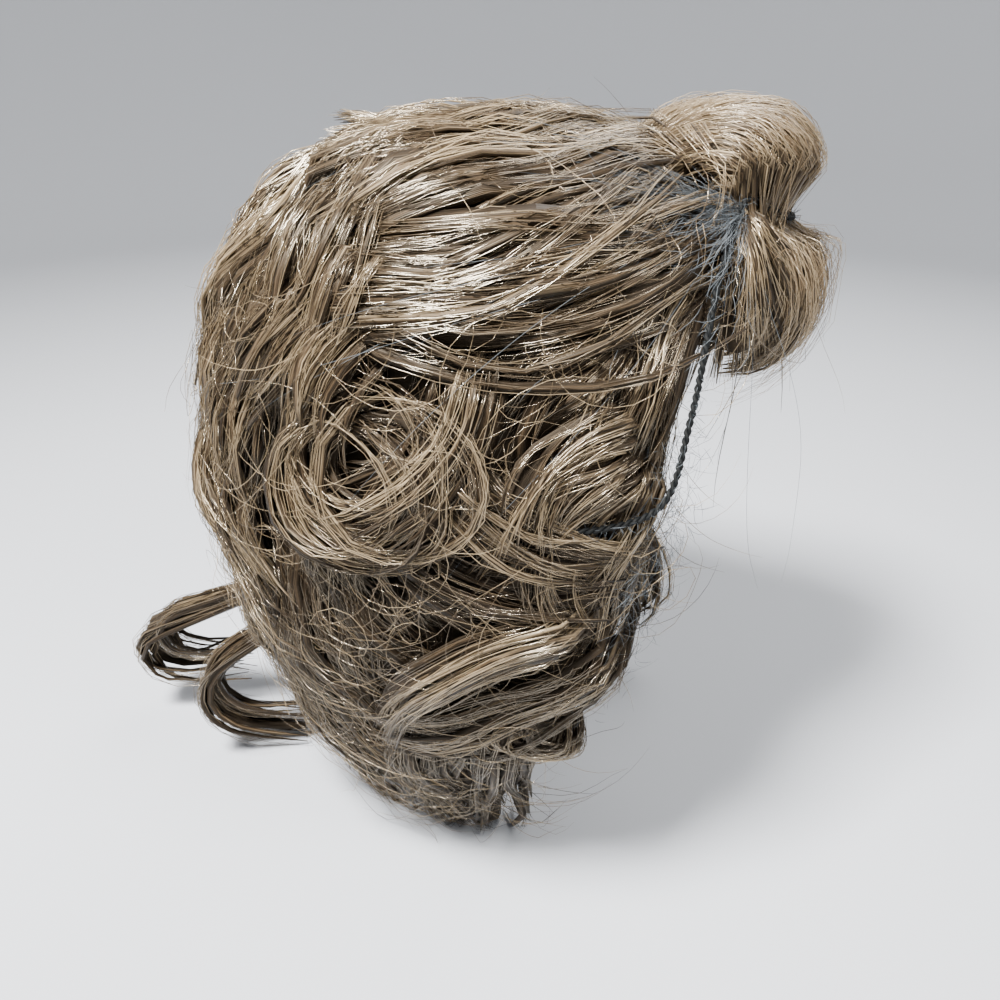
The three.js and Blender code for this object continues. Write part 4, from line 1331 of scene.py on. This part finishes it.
def strand_tone_group():
    """Colour, roughness and ridge height of strands from their tone column and their run from root to tip."""
    name = "strand_tone"
    if name in bpy.data.node_groups:
        return bpy.data.node_groups[name]
    tree = bpy.data.node_groups.new(name, "ShaderNodeTree")
    given, put = tone_sockets(tree)
    parts = tree.nodes.new("ShaderNodeSeparateXYZ")
    tree.links.new(given.outputs["Map"], parts.inputs[0])
    wide = math_node(tree, "MULTIPLY", parts.outputs["X"], TONES)
    column = math_node(tree, "FLOOR", wide)
    single = math_node(tree, "DIVIDE", column, STRAND_TONES)
    in_clump = math_node(tree, "GREATER_THAN", column, STRAND_TONES - 0.5)
    # Mask of the under-hair's columns, which take the painted shade colour.
    hidden = math_node(tree, "GREATER_THAN", column, UNDER_FIRST - 0.5)
    past_strands = math_node(tree, "SUBTRACT", column, STRAND_TONES)
    band = math_node(tree, "FLOOR", math_node(tree, "DIVIDE", past_strands, BAND_COLUMNS))
    stripe = tree.nodes.new("ShaderNodeTexWhiteNoise")
    stripe.noise_dimensions = "1D"
    fine = math_node(tree, "MULTIPLY", wide, STRIPES)
    tree.links.new(math_node(tree, "FLOOR", fine), stripe.inputs["W"])
    stripe_tone = ranged(tree, stripe.outputs["Value"], (0, 1), STRIPE_TONES)
    striped = math_node(tree, "ADD", math_node(tree, "DIVIDE", band, CLUMP_BANDS), stripe_tone)
    mixed = tree.nodes.new("ShaderNodeMix")
    tree.links.new(in_clump, mixed.inputs["Factor"])
    tree.links.new(single, mixed.inputs["A"])
    tree.links.new(striped, mixed.inputs["B"])
    streak = add_node(tree, "ShaderNodeTexNoise", Scale=1.0)
    streak.noise_dimensions = "2D"
    at = tree.nodes.new("ShaderNodeCombineXYZ")
    tree.links.new(math_node(tree, "MULTIPLY", wide, STREAK_ACROSS), at.inputs["X"])
    tree.links.new(math_node(tree, "MULTIPLY", parts.outputs["Y"], STREAK_ALONG), at.inputs["Y"])
    tree.links.new(at.outputs[0], streak.inputs["Vector"])
    uneven = ranged(tree, streak.outputs["Fac"], STREAK_RANGE, STREAK_TONES)
    # The tone, with the locks' painted light and shade in it, made uneven by streaks.
    shade = math_node(tree, "ADD", mixed.outputs["Result"], uneven)
    to_middle = ranged(tree, shade, DARK_TO_MIDDLE, (0, 1))
    lower = colour_mix(tree, to_middle, given.outputs["Dark"], given.outputs["Middle"])
    upper = colour_mix(tree, ranged(tree, shade, MIDDLE_TO_LIGHT, (0, 1)), lower, given.outputs["Light"])
    root = ranged(tree, parts.outputs["Y"], ROOT_SHADE_RUN, ROOT_SHADE)
    rooted = colour_mix(tree, root, upper, given.outputs["Dark"])
    tree.links.new(colour_mix(tree, hidden, rooted, given.outputs["Under"]), put.inputs["Colour"])
    rough = ranged(tree, streak.outputs["Fac"], STREAK_RANGE, STREAK_ROUGHNESS)
    shiny = math_node(tree, "ADD", rough, given.outputs["Gloss"])
    under_dull = math_node(tree, "MULTIPLY", hidden, UNDER_DULL)
    dull = math_node(tree, "ADD", under_dull, math_node(tree, "MULTIPLY", in_clump, CLUMP_DULL))
    tree.links.new(math_node(tree, "ADD", shiny, dull), put.inputs["Roughness"])
    ridge = math_node(tree, "SINE", math_node(tree, "MULTIPLY", math_node(tree, "FRACT", fine), np.pi))
    tree.links.new(math_node(tree, "MULTIPLY", ridge, in_clump), put.inputs["Ridge"])
    return tree


def strand_material(name, colours, gloss, ridge, specular):
    """Material of strands: the tone group feeds the colour, the roughness and a fine ridge bump."""
    material = bpy.data.materials.new(name)
    material.use_nodes = True
    tree = material.node_tree
    surface = tree.nodes["Principled BSDF"]
    group = tree.nodes.new("ShaderNodeGroup")
    group.node_tree = strand_tone_group()
    for socket, colour in zip(("Dark", "Middle", "Light", "Under"), colours):
        group.inputs[socket].default_value = (*colour, 1)
    group.inputs["Gloss"].default_value = gloss
    place = tree.nodes.new("ShaderNodeUVMap")
    place.uv_map = UV_NAME
    bump = add_node(tree, "ShaderNodeBump", Strength=RIDGE_STRENGTH, Distance=ridge)
    tree.links.new(place.outputs["UV"], group.inputs["Map"])
    tree.links.new(group.outputs["Colour"], surface.inputs["Base Color"])
    tree.links.new(group.outputs["Roughness"], surface.inputs["Roughness"])
    tree.links.new(group.outputs["Ridge"], bump.inputs["Height"])
    tree.links.new(bump.outputs["Normal"], surface.inputs["Normal"])
    surface.inputs["IOR"].default_value = HAIR_IOR
    surface.inputs["Specular IOR Level"].default_value = specular
    surface.inputs["Specular Tint"].default_value = SPECULAR_TINT
    return material


def length_setting(name, description, default):
    """A setting in metres, shown to a hundredth of a millimetre."""
    return FloatProperty(name=name, description=description, default=default, unit="LENGTH", precision=5)


def power_setting(name, description, default):
    """A setting in watts."""
    return FloatProperty(name=name, description=description, default=default, unit="POWER")


def factor_setting(name, description, default):
    """A setting from 0 to 1."""
    return FloatProperty(name=name, description=description, default=default, min=0, max=1, subtype="FACTOR")


def colour_setting(name, description, default):
    """A setting that is a colour."""
    return FloatVectorProperty(name=name, description=description, default=default, subtype="COLOR")


class WigHairSettings(bpy.types.PropertyGroup):
    """Sizes and colours of the hair."""

    strand_width: length_setting("Strand width", "Width of a strand in a lock", 0.00028)
    stray_width: length_setting("Stray width", "Width of a loose strand", 0.00018)
    ridge: length_setting("Ridge", "Height of the fine ridges on the under-hair", 0.0003)
    dark: colour_setting("Dark strands", "Colour of the darkest strands", (0.0135, 0.009, 0.0055))
    middle: colour_setting("Middle strands", "Colour of most strands", (0.051, 0.0335, 0.0185))
    light: colour_setting("Light strands", "Colour of the ash-blonde strands", (0.285, 0.213, 0.125))
    # Painted shade: the under-hair and the lock hearts take this near-black colour, the shade deep between
    # the locks.
    under: colour_setting("Under-hair", "Colour deep between the locks", (0.016, 0.011, 0.007))
    # Painted light: the fringe's middle colour is warmer, and also lighter than the others' as the highlight
    # on the front roll.
    warm_middle_painted_light: colour_setting("Fringe strands", "Colour of most fringe strands", (0.12, 0.078, 0.041))
    gloss: factor_setting("Roughness", "Roughness of the strands", 0.19)
    density: factor_setting("Density", "Share of the full number of strands behind the fringe", 1.0)


class WigNetSettings(bpy.types.PropertyGroup):
    """Sizes and colours of the hair net and of the cap."""

    ply_radius: length_setting("Ply radius", "Radius of each of the cord's plies", 0.00062)
    ply_reach: length_setting("Ply reach", "From the cord's middle to a ply's", 0.00055)
    pitch: length_setting("Pitch", "Length of one turn of the cord's twist", 0.0052)
    thread_width: length_setting("Thread width", "Width of a net thread", 0.00013)
    cord_colour: colour_setting("Cord", "Colour of the elastic cord", (0.003, 0.005, 0.007))
    lit_cord: colour_setting("Lit cord", "Colour of the cord's lightest fibres", (0.009, 0.014, 0.018))
    thread_colour: colour_setting("Net", "Colour of the net threads", (0.075, 0.086, 0.096))
    bright_thread: colour_setting("Lit net", "Colour of the lightest net threads", (0.135, 0.15, 0.16))
    cap_colour: colour_setting("Cap", "Colour of the cap's cloth", (0.080, 0.055, 0.035))


class WigStageSettings(bpy.types.PropertyGroup):
    """Floor and lights."""

    floor_colour: colour_setting("Floor", "Colour of the floor", (0.42, 0.43, 0.45))
    floor_radius: length_setting("Floor radius", "Radius of the flat floor", 1.2)
    floor_curve: length_setting("Curve", "Radius between floor and wall", 0.6)
    wall_height: length_setting("Wall", "Height of the wall", 1.6)
    key_power: power_setting("Key light", "Power of the main light", 58)
    fill_power: power_setting("Fill light", "Power of the front light", 11)
    rim_power: power_setting("Rim light", "Power of the back light", 8)
    sky: factor_setting("Sky", "Strength of the light from above", 0.17)


def hair_material(name, settings, middle, specular):
    """A hair finish around one middle colour."""
    colours = (settings.dark, middle, settings.light, settings.under)
    return strand_material(name, colours, settings.gloss, settings.ridge, specular)


def shared_hair(settings):
    """The finishes of the strands of the crown, sides and back and of what lies under them, made once."""
    strands, under = "ash_brown_hair", "under_hair"
    if strands not in bpy.data.materials:
        hair_material(strands, settings, settings.middle, STRAND_SPECULAR)
        hair_material(under, settings, settings.middle, UNDER_SPECULAR)
    return bpy.data.materials[strands], bpy.data.materials[under]


def group_piece(name, group, settings, base):
    """One group of hair: its under-hair, the hearts of its locks and all its strands."""
    rng = np.random.default_rng(SEEDS[group])
    stations = joined(*(whole_locks(each) for each in STRAND_COUNTS))
    counts = {kind: max(1, round(number * settings.density)) for kind, number in STRAND_COUNTS[group].items()}
    width = settings.strand_width * MM
    shells = [base, core_shell(whole_locks(group))]
    clumps = clump_locks(group, rng)
    for tight, kind in ((False, "plain"), (True, "tight")):
        kept = chosen(clumps, clumps["tight"] == tight)
        if len(kept["width"]):
            points = STRAND_POINTS[kind]
            row = np.round(np.linspace(0, WALK_STEPS, points)).astype(int)
            normal = kept["normal"][:, row]
            path = pressed(kept["middle"][:, row] - normal * CLUMP_SINK)
            # The clumps are painted darker than their strands, as the shade under them.
            tone = kept["tone"] - CLUMP_PAINTED_SHADE
            shells.append(clump_shell(path, normal, tone, kept["width"], kept["thick"], rng))
            path, normal, tone = clump_strands(kept, counts["clump"], points, rng)
            shells.append(strand_shell(pressed(path), normal, tone, width, rng))
    path, normal = under_strands(region_starts(group, counts["under"], rng), stations, rng)
    shells.append(hair_strands(path, normal, "under", width, rng))
    path, normal = stray_strands(region_starts(group, counts["stray"], rng), stations, rng)
    shells.append(hair_strands(path, normal, "stray", settings.stray_width * MM, rng))
    if group in ("right_side", "left_side"):
        path, normal = edge_strands(group == "left_side", rng)
        shells.append(hair_strands(path, normal, "edge", width, rng))
    return make_piece(name, shells, *shared_hair(settings))


def left_front(z):
    """Azimuth of the front edge of the left side's hair at a level."""
    return 360 - side_front(z)


def under_hair(start, end):
    """Under-hair of a side or of the back, between two edges."""
    return sector_shell(UNDER["low"], UNDER["high"], start, end)


class WIG_OT_cap(bpy.types.Operator):
    """The thin stretch cap that the hair is sewn to, open to the face and at the neck"""

    bl_idname = "wig.cap"
    bl_label = "Cap"

    def execute(self, context):
        def rim(az):
            return np.interp(np.minimum(az, 360 - az), CAP_RIM_AZ, CAP_RIM_Z)

        shell = dome_shell(CAP, grown(CAP, -CAP_WALL), rim, CAP_ROWS, CAP_SIDES, STRAND_SLOT)
        material = cap_cloth(context.scene.wig_net)
        finish_piece(make_piece("cap_shell", [shell], material), "cap_cloth", "cap")
        return {"FINISHED"}


def cap_cloth(settings):
    """Stretch cloth of the cap: sewn rows every few millimetres over a fine mesh, in colour and bump."""
    material = bpy.data.materials.new("cap_cloth")
    material.use_nodes = True
    tree = material.node_tree
    surface = tree.nodes["Principled BSDF"]
    place = tree.nodes.new("ShaderNodeTexCoord")
    rows = add_node(tree, "ShaderNodeTexWave", **CAP_ROW_WAVE)
    rows.bands_direction = "Z"
    mesh = add_node(tree, "ShaderNodeTexVoronoi", Scale=CAP_MESH_SCALE)
    tree.links.new(place.outputs["Object"], rows.inputs["Vector"])
    tree.links.new(place.outputs["Object"], mesh.inputs["Vector"])
    ramp = tree.nodes.new("ShaderNodeValToRGB")
    for element, position, share in zip(ramp.color_ramp.elements, CAP_RAMP, (1, CAP_GROOVE_SHADE)):
        element.position = position
        element.color = (*(share * channel for channel in settings.cap_colour), 1)
    tree.links.new(rows.outputs["Fac"], ramp.inputs["Fac"])
    tree.links.new(ramp.outputs["Color"], surface.inputs["Base Color"])
    mesh_height = math_node(tree, "MULTIPLY", mesh.outputs["Distance"], CAP_MESH_SHARE)
    height = math_node(tree, "ADD", rows.outputs["Fac"], mesh_height)
    bump = add_node(tree, "ShaderNodeBump", **CAP_BUMP)
    tree.links.new(height, bump.inputs["Height"])
    tree.links.new(bump.outputs["Normal"], surface.inputs["Normal"])
    rough = ranged(tree, mesh.outputs["Distance"], CAP_MESH_RANGE, CAP_ROUGHNESS)
    tree.links.new(rough, surface.inputs["Roughness"])
    return material


class WIG_OT_crown_and_sides(bpy.types.Operator):
    """The crown, both sides and the back: under-hair, locks and strands"""

    bl_idname = "wig.crown_and_sides"
    bl_label = "Crown, sides and back"

    def execute(self, context):
        def rim(az):
            return np.full_like(az, UNDER["crown_low"])

        outer = grown(HAIR, UNDER["lift"])
        crown = dome_shell(outer, grown(CAP, CAP_GAP), rim, CROWN_ROWS, CROWN_SIDES, UNDER_SLOT)
        right_rear, left_rear = upright(SIDE_REAR), upright(360 - SIDE_REAR)
        groups = (
            ("crown_sweep", "crown", "crown_hair", crown),
            ("right_side_curls", "right_side", "right_side_hair", under_hair(side_front, right_rear)),
            ("left_side_curls", "left_side", "left_side_hair", under_hair(left_rear, left_front)),
            ("back_waves", "back", "back_hair", under_hair(right_rear, left_rear)),
        )
        for name, group, node, base in groups:
            finish_piece(group_piece(name, group, context.scene.wig_hair, base), "hair", node)
        return {"FINISHED"}


class WIG_OT_fringe(bpy.types.Operator):
    """The front roll, pinched by the net's cord into an upper and a lower roll"""

    bl_idname = "wig.fringe"
    bl_label = "Fringe"

    def execute(self, context):
        settings = context.scene.wig_hair
        rng = np.random.default_rng(SEEDS["fringe"])
        width = settings.strand_width * MM
        ends = upright(-FRINGE_HALF_ANGLE), upright(FRINGE_HALF_ANGLE)
        shells = [sector_shell(UNDER["fringe_low"], UNDER["fringe_high"], *ends)]
        path, normal = fringe_paths(FRINGE_COUNTS["clump"], FRINGE_DEPTHS["clump"], rng)
        shells.append(fringe_clumps(path, normal, "clump", rng))
        path, normal = fringe_paths(FRINGE_COUNTS["strand"], FRINGE_DEPTHS["strand"], rng)
        shells.append(hair_strands(path, normal, "strand", width, rng))
        for left in (False, True):
            # The clumps under the near ends are painted dark as shade, and the near ends light as the roll's
            # highlight.
            path, normal = roll_ends(FRINGE_COUNTS["end_clump"], left, rng)
            shells.append(fringe_clumps(path - normal * CLUMP_SINK, normal, "end_clump", rng))
            path, normal = roll_ends(FRINGE_COUNTS["end"], left, rng)
            shells.append(hair_strands(path, normal, "end", width, rng))
        for path, normal in (fringe_strays(rng), roll_wisp(rng)):
            shells.append(hair_strands(path, normal, "wisp", settings.stray_width * MM, rng))
        material = hair_material("warm_brown_hair", settings, settings.warm_middle_painted_light, STRAND_SPECULAR)
        under = shared_hair(settings)[UNDER_SLOT]
        finish_piece(make_piece("fringe_rolls", shells, material, under), "hair", "fringe")
        return {"FINISHED"}


def pinch_fan(kind, left, rng):
    """Net threads that lie on the hair round one pinch: walks whose headings fan out behind the pinch.

    A thread starts some way out along its heading, far from the pinch with the chance of exp(-d / away), and
    its lift goes from the pinch's own to NET_LIFT over the first NET_SETTLE.
    """
    count = NET_COUNTS[kind]
    draw = chances(FAN_CHANCE, rng, (count, 1))
    pinch = np.array(PINCH) * side_sign(left)
    on_hair = onto_hair(pinch)
    lift = np.linalg.norm(pinch - on_hair)
    normal = hair_normal(on_hair)
    down = across(DOWN, normal)
    aft = across(np.array([0, 1.0, 0]), normal)
    fan = FAN_HEADING + draw("heading")
    along = across(aft * np.cos(fan) + down * np.sin(fan), normal)
    gone = rng.exponential(FAN_AWAY[kind], (count, 1))
    start = onto_hair(on_hair + along * gone + rng.normal(0, FAN_START, (count, 3)))
    normal = hair_normal(start)
    along = across(turned(along, normal, rng.normal(0, FAN_LEAN, count)), normal)
    share = runs(count, STRAND_POINTS[kind])
    turn = np.radians(draw("bend") * share) + wander(rng, share, WANDER_SIZE["net_turn"])
    reach = rng.uniform(*FAN_LENGTH[kind], count)
    settled = np.clip((gone + share * reach[:, None]) / NET_SETTLE, 0, 1)
    height = lift + (NET_LIFT - lift) * settled + wander(rng, share, WANDER_SIZE["net_lift"])
    path, normals, _ = walk(start, along, reach, turn, height + (draw("sink") - NET_SINK))
    return path, normals


def cord_fuzz(rng):
    """Broken net threads along the shown cord: short fibres that leave it square and curl.

    A fibre is start + length * (out * s + along * curl * s^2).
    """
    count = NET_COUNTS["fuzz"]
    draw = chances(FUZZ_CHANCE, rng, (count, 1))
    middle, up = shown_cord()
    place = rng.integers(1, len(middle) - 1, count)
    along = unit(middle[place + 1] - middle[place - 1])
    side = np.cross(along, up[place])
    angle = draw("angle")
    out = side * np.cos(angle) + up[place] * np.sin(angle)
    run = np.linspace(0, 1, STRAND_POINTS["fuzz"])[:, None]
    reach = draw("length")[..., None]
    curl = draw("curl")[..., None]
    start = middle[place] + along * draw("shift")
    path = start[:, None] + reach * (out[:, None] * run + along[:, None] * curl * run**2)
    return path, np.broadcast_to(up[place][:, None], path.shape)


def net_veil(left, rng):
    """Loose net below the cord: short crossed fibres along the front edge of one side."""
    points = STRAND_POINTS["fuzz"]
    count = NET_COUNTS["veil"]
    draw = chances(VEIL_CHANCE, rng, count)
    z = rng.triangular(*VEIL_LEVELS, count)
    az = side_front(z) + draw("az")
    start = form_point(HAIR, -az if left else az, z)
    normal = hair_normal(start)
    angle = rng.choice(VEIL_SLANTS, count) + draw("lean")
    along = turned(across(DOWN, normal), normal, angle)
    turn = np.radians(draw("bend")[:, None] * runs(count, points))
    lift = np.repeat(draw("lift")[:, None], points, 1)
    path, normals, _ = walk(start, along, draw("length"), turn, lift)
    return path, normals


class WIG_OT_net(bpy.types.Operator):
    """The net's twisted elastic cord and the fine threads bunched along it"""

    bl_idname = "wig.net"
    bl_label = "Hair net"

    def execute(self, context):
        settings = context.scene.wig_net
        dark = settings.cord_colour
        cord_colours = (dark, dark, settings.lit_cord, dark)
        cord = strand_material("navy_elastic", cord_colours, specular=UNDER_SPECULAR, **CORD_FINISH)
        finish_piece(make_piece("net_elastic", [ply_shell(settings)], cord), "cord", "net_cord")
        rng = np.random.default_rng(SEEDS["net"])
        batches = [cord_fuzz(rng)]
        for left in (False, True):
            batches += [pinch_fan("fan", left, rng), pinch_fan("thread", left, rng), net_veil(left, rng)]
        shells = []
        for path, normal in batches:
            tone = rng.normal(*TONE_CHANCE["net"], len(path))
            shells.append(strand_shell(path, normal, tone, settings.thread_width * MM, rng))
        net_colours = (dark, settings.thread_colour, settings.bright_thread, dark)
        net = strand_material("blue_grey_net", net_colours, specular=UNDER_SPECULAR, **NET_FINISH)
        finish_piece(make_piece("net_threads", shells, net), "cord")
        return {"FINISHED"}


def ply_shell(settings):
    """Plies that wind round the cord's middle: middle + reach * (cos a, sin a), a growing with length."""
    middle = cord_path(PLY_STATIONS)
    step = np.linalg.norm(np.diff(middle, axis=0, append=middle[:1]), axis=1)
    turns = round(step.sum() / (settings.pitch * MM))
    along = unit(np.roll(middle, -1, 0) - np.roll(middle, 1, 0))
    up = across(hair_normal(onto_hair(middle)), along)
    side = np.cross(along, up)
    station = np.arange(PLY_STATIONS)
    angle = 2 * np.pi * (turns * station / PLY_STATIONS + np.arange(PLIES)[:, None] / PLIES)
    out = side * np.cos(angle)[..., None] + up * np.sin(angle)[..., None]
    path = middle + settings.ply_reach * MM * out
    way = unit(np.roll(path, -1, 1) - np.roll(path, 1, 1))
    ply_up = across(np.broadcast_to(up, path.shape), way)
    ply_side = np.cross(way, ply_up)
    turn = ring_turns(PLY_SIDES)
    ring = ply_side[:, :, None] * np.cos(turn) + ply_up[:, :, None] * np.sin(turn)
    points = path[:, :, None] + ring * settings.ply_radius * MM
    corners = tube_faces(PLIES, PLY_STATIONS, PLY_SIDES, True)
    span = np.tile(np.array([[0, 0], [0, 1], [1, 1], [1, 0]], float), (len(corners), 1, 1))
    side_number = np.tile(np.arange(PLY_SIDES), PLIES * PLY_STATIONS)[:, None]
    part = np.tile(np.repeat(station % PLY_REPEAT, PLY_SIDES), PLIES)[:, None]
    span[..., 0] = (span[..., 0] + side_number) / PLY_SIDES * STRAND_TONES / TONES
    span[..., 1] = PLY_MAP_START + (span[..., 1] + part) / PLY_REPEAT * PLY_MAP_RUN
    return {"points": points.reshape(-1, 3), "faces": [(corners, span)], "slot": STRAND_SLOT}


class WIG_OT_stage(bpy.types.Operator):
    """Pale floor, soft lights and the camera"""

    bl_idname = "wig.stage"
    bl_label = "Stage"

    def execute(self, context):
        settings = context.scene.wig_stage
        add_camera(context.scene)
        add_floor(context.scene, settings)
        add_lights(context.scene, settings)
        return {"FINISHED"}


def add_camera(scene):
    """Camera at the photograph's angle: it looks along +x and down by its pitch."""
    camera = bpy.data.objects.new("camera", bpy.data.cameras.new("camera"))
    camera.data.lens = CAMERA_LENS
    camera.data.sensor_width = CAMERA_SENSOR
    camera.location = placed(CAMERA_AT)
    pitch = np.radians(CAMERA_PITCH)
    camera.rotation_mode = "QUATERNION"
    camera.rotation_quaternion = Vector((np.cos(pitch), 0, -np.sin(pitch))).to_track_quat("-Z", "Y")
    camera.data.clip_start = CAMERA_NEAR
    scene.collection.objects.link(camera)
    scene.camera = camera


def add_floor(scene, settings):
    """A plain pale floor that curves up into a wall: a profile of flat, quarter round and wall, spun."""
    bend = np.linspace(0, np.pi / 2, FLOOR_CURVE_POINTS)
    flat, curve, wall = settings.floor_radius, settings.floor_curve, settings.wall_height
    out = np.concatenate([[FLOOR_MIDDLE], flat + curve * np.sin(bend), [flat + curve]])[:, None]
    up = np.concatenate([[0], curve * (1 - np.cos(bend)), [wall]])[:, None]
    turn = np.linspace(0, 2 * np.pi, FLOOR_SIDES, endpoint=False)
    points = np.stack(np.broadcast_arrays(out * np.cos(turn), out * np.sin(turn), up), -1)
    mesh = bpy.data.meshes.new("floor")
    mesh.from_pydata(points.reshape(-1, 3), [], tube_faces(1, len(out), len(turn))[:, ::-1])
    mesh.shade_smooth()
    material = bpy.data.materials.new("pale_floor")
    material.use_nodes = True
    surface = material.node_tree.nodes["Principled BSDF"]
    surface.inputs["Base Color"].default_value = (*settings.floor_colour, 1)
    surface.inputs["Roughness"].default_value = FLOOR_ROUGHNESS
    mesh.materials.append(material)
    floor = bpy.data.objects.new("floor", mesh)
    scene.collection.objects.link(floor)


def add_lights(scene, settings):
    """A large soft light above, one from the front, one from behind, and an even sky."""
    powers = {"key": settings.key_power, "fill": settings.fill_power, "rim": settings.rim_power}
    for name, (at, size) in LIGHTS.items():
        light = bpy.data.lights.new(name, "AREA")
        light.size = size
        light.energy = powers[name]
        lamp = bpy.data.objects.new(name, light)
        lamp.location = at
        lamp.rotation_mode = "QUATERNION"
        lamp.rotation_quaternion = (Vector(LIGHT_TARGET) - Vector(at)).to_track_quat("-Z", "Y")
        scene.collection.objects.link(lamp)
    world = bpy.data.worlds.new("studio")
    world.use_nodes = True
    sky = world.node_tree.nodes["Background"]
    sky.inputs["Color"].default_value = SKY_COLOUR
    sky.inputs["Strength"].default_value = settings.sky
    scene.world = world


class WIG_PT_panel(bpy.types.Panel):
    """Lists the wig's pieces"""

    bl_idname = "WIG_PT_panel"
    bl_label = "Short curly wig"
    bl_space_type = "VIEW_3D"
    bl_region_type = "UI"
    bl_category = "Wig"

    def draw(self, context):
        for operator in OPERATORS:
            self.layout.operator(operator.bl_idname)


OPERATORS = (WIG_OT_stage, WIG_OT_cap, WIG_OT_crown_and_sides, WIG_OT_fringe, WIG_OT_net)
SETTINGS = (("wig_hair", WigHairSettings), ("wig_net", WigNetSettings), ("wig_stage", WigStageSettings))


def register():
    """Registers the settings, the operators and the panel."""
    for name, settings in SETTINGS:
        bpy.utils.register_class(settings)
        setattr(bpy.types.Scene, name, PointerProperty(type=settings))
    for operator in OPERATORS:
        bpy.utils.register_class(operator)
    bpy.utils.register_class(WIG_PT_panel)


def unregister():
    """Takes everything away that register() added."""
    bpy.utils.unregister_class(WIG_PT_panel)
    for operator in reversed(OPERATORS):
        bpy.utils.unregister_class(operator)
    for name, settings in reversed(SETTINGS):
        delattr(bpy.types.Scene, name)
        bpy.utils.unregister_class(settings)


def main():
    """Builds every piece in order."""
    register()
    bpy.ops.wig.stage()
    bpy.ops.wig.cap()
    bpy.ops.wig.crown_and_sides()
    bpy.ops.wig.fringe()
    bpy.ops.wig.net()


if __name__ == "__main__":
    main()
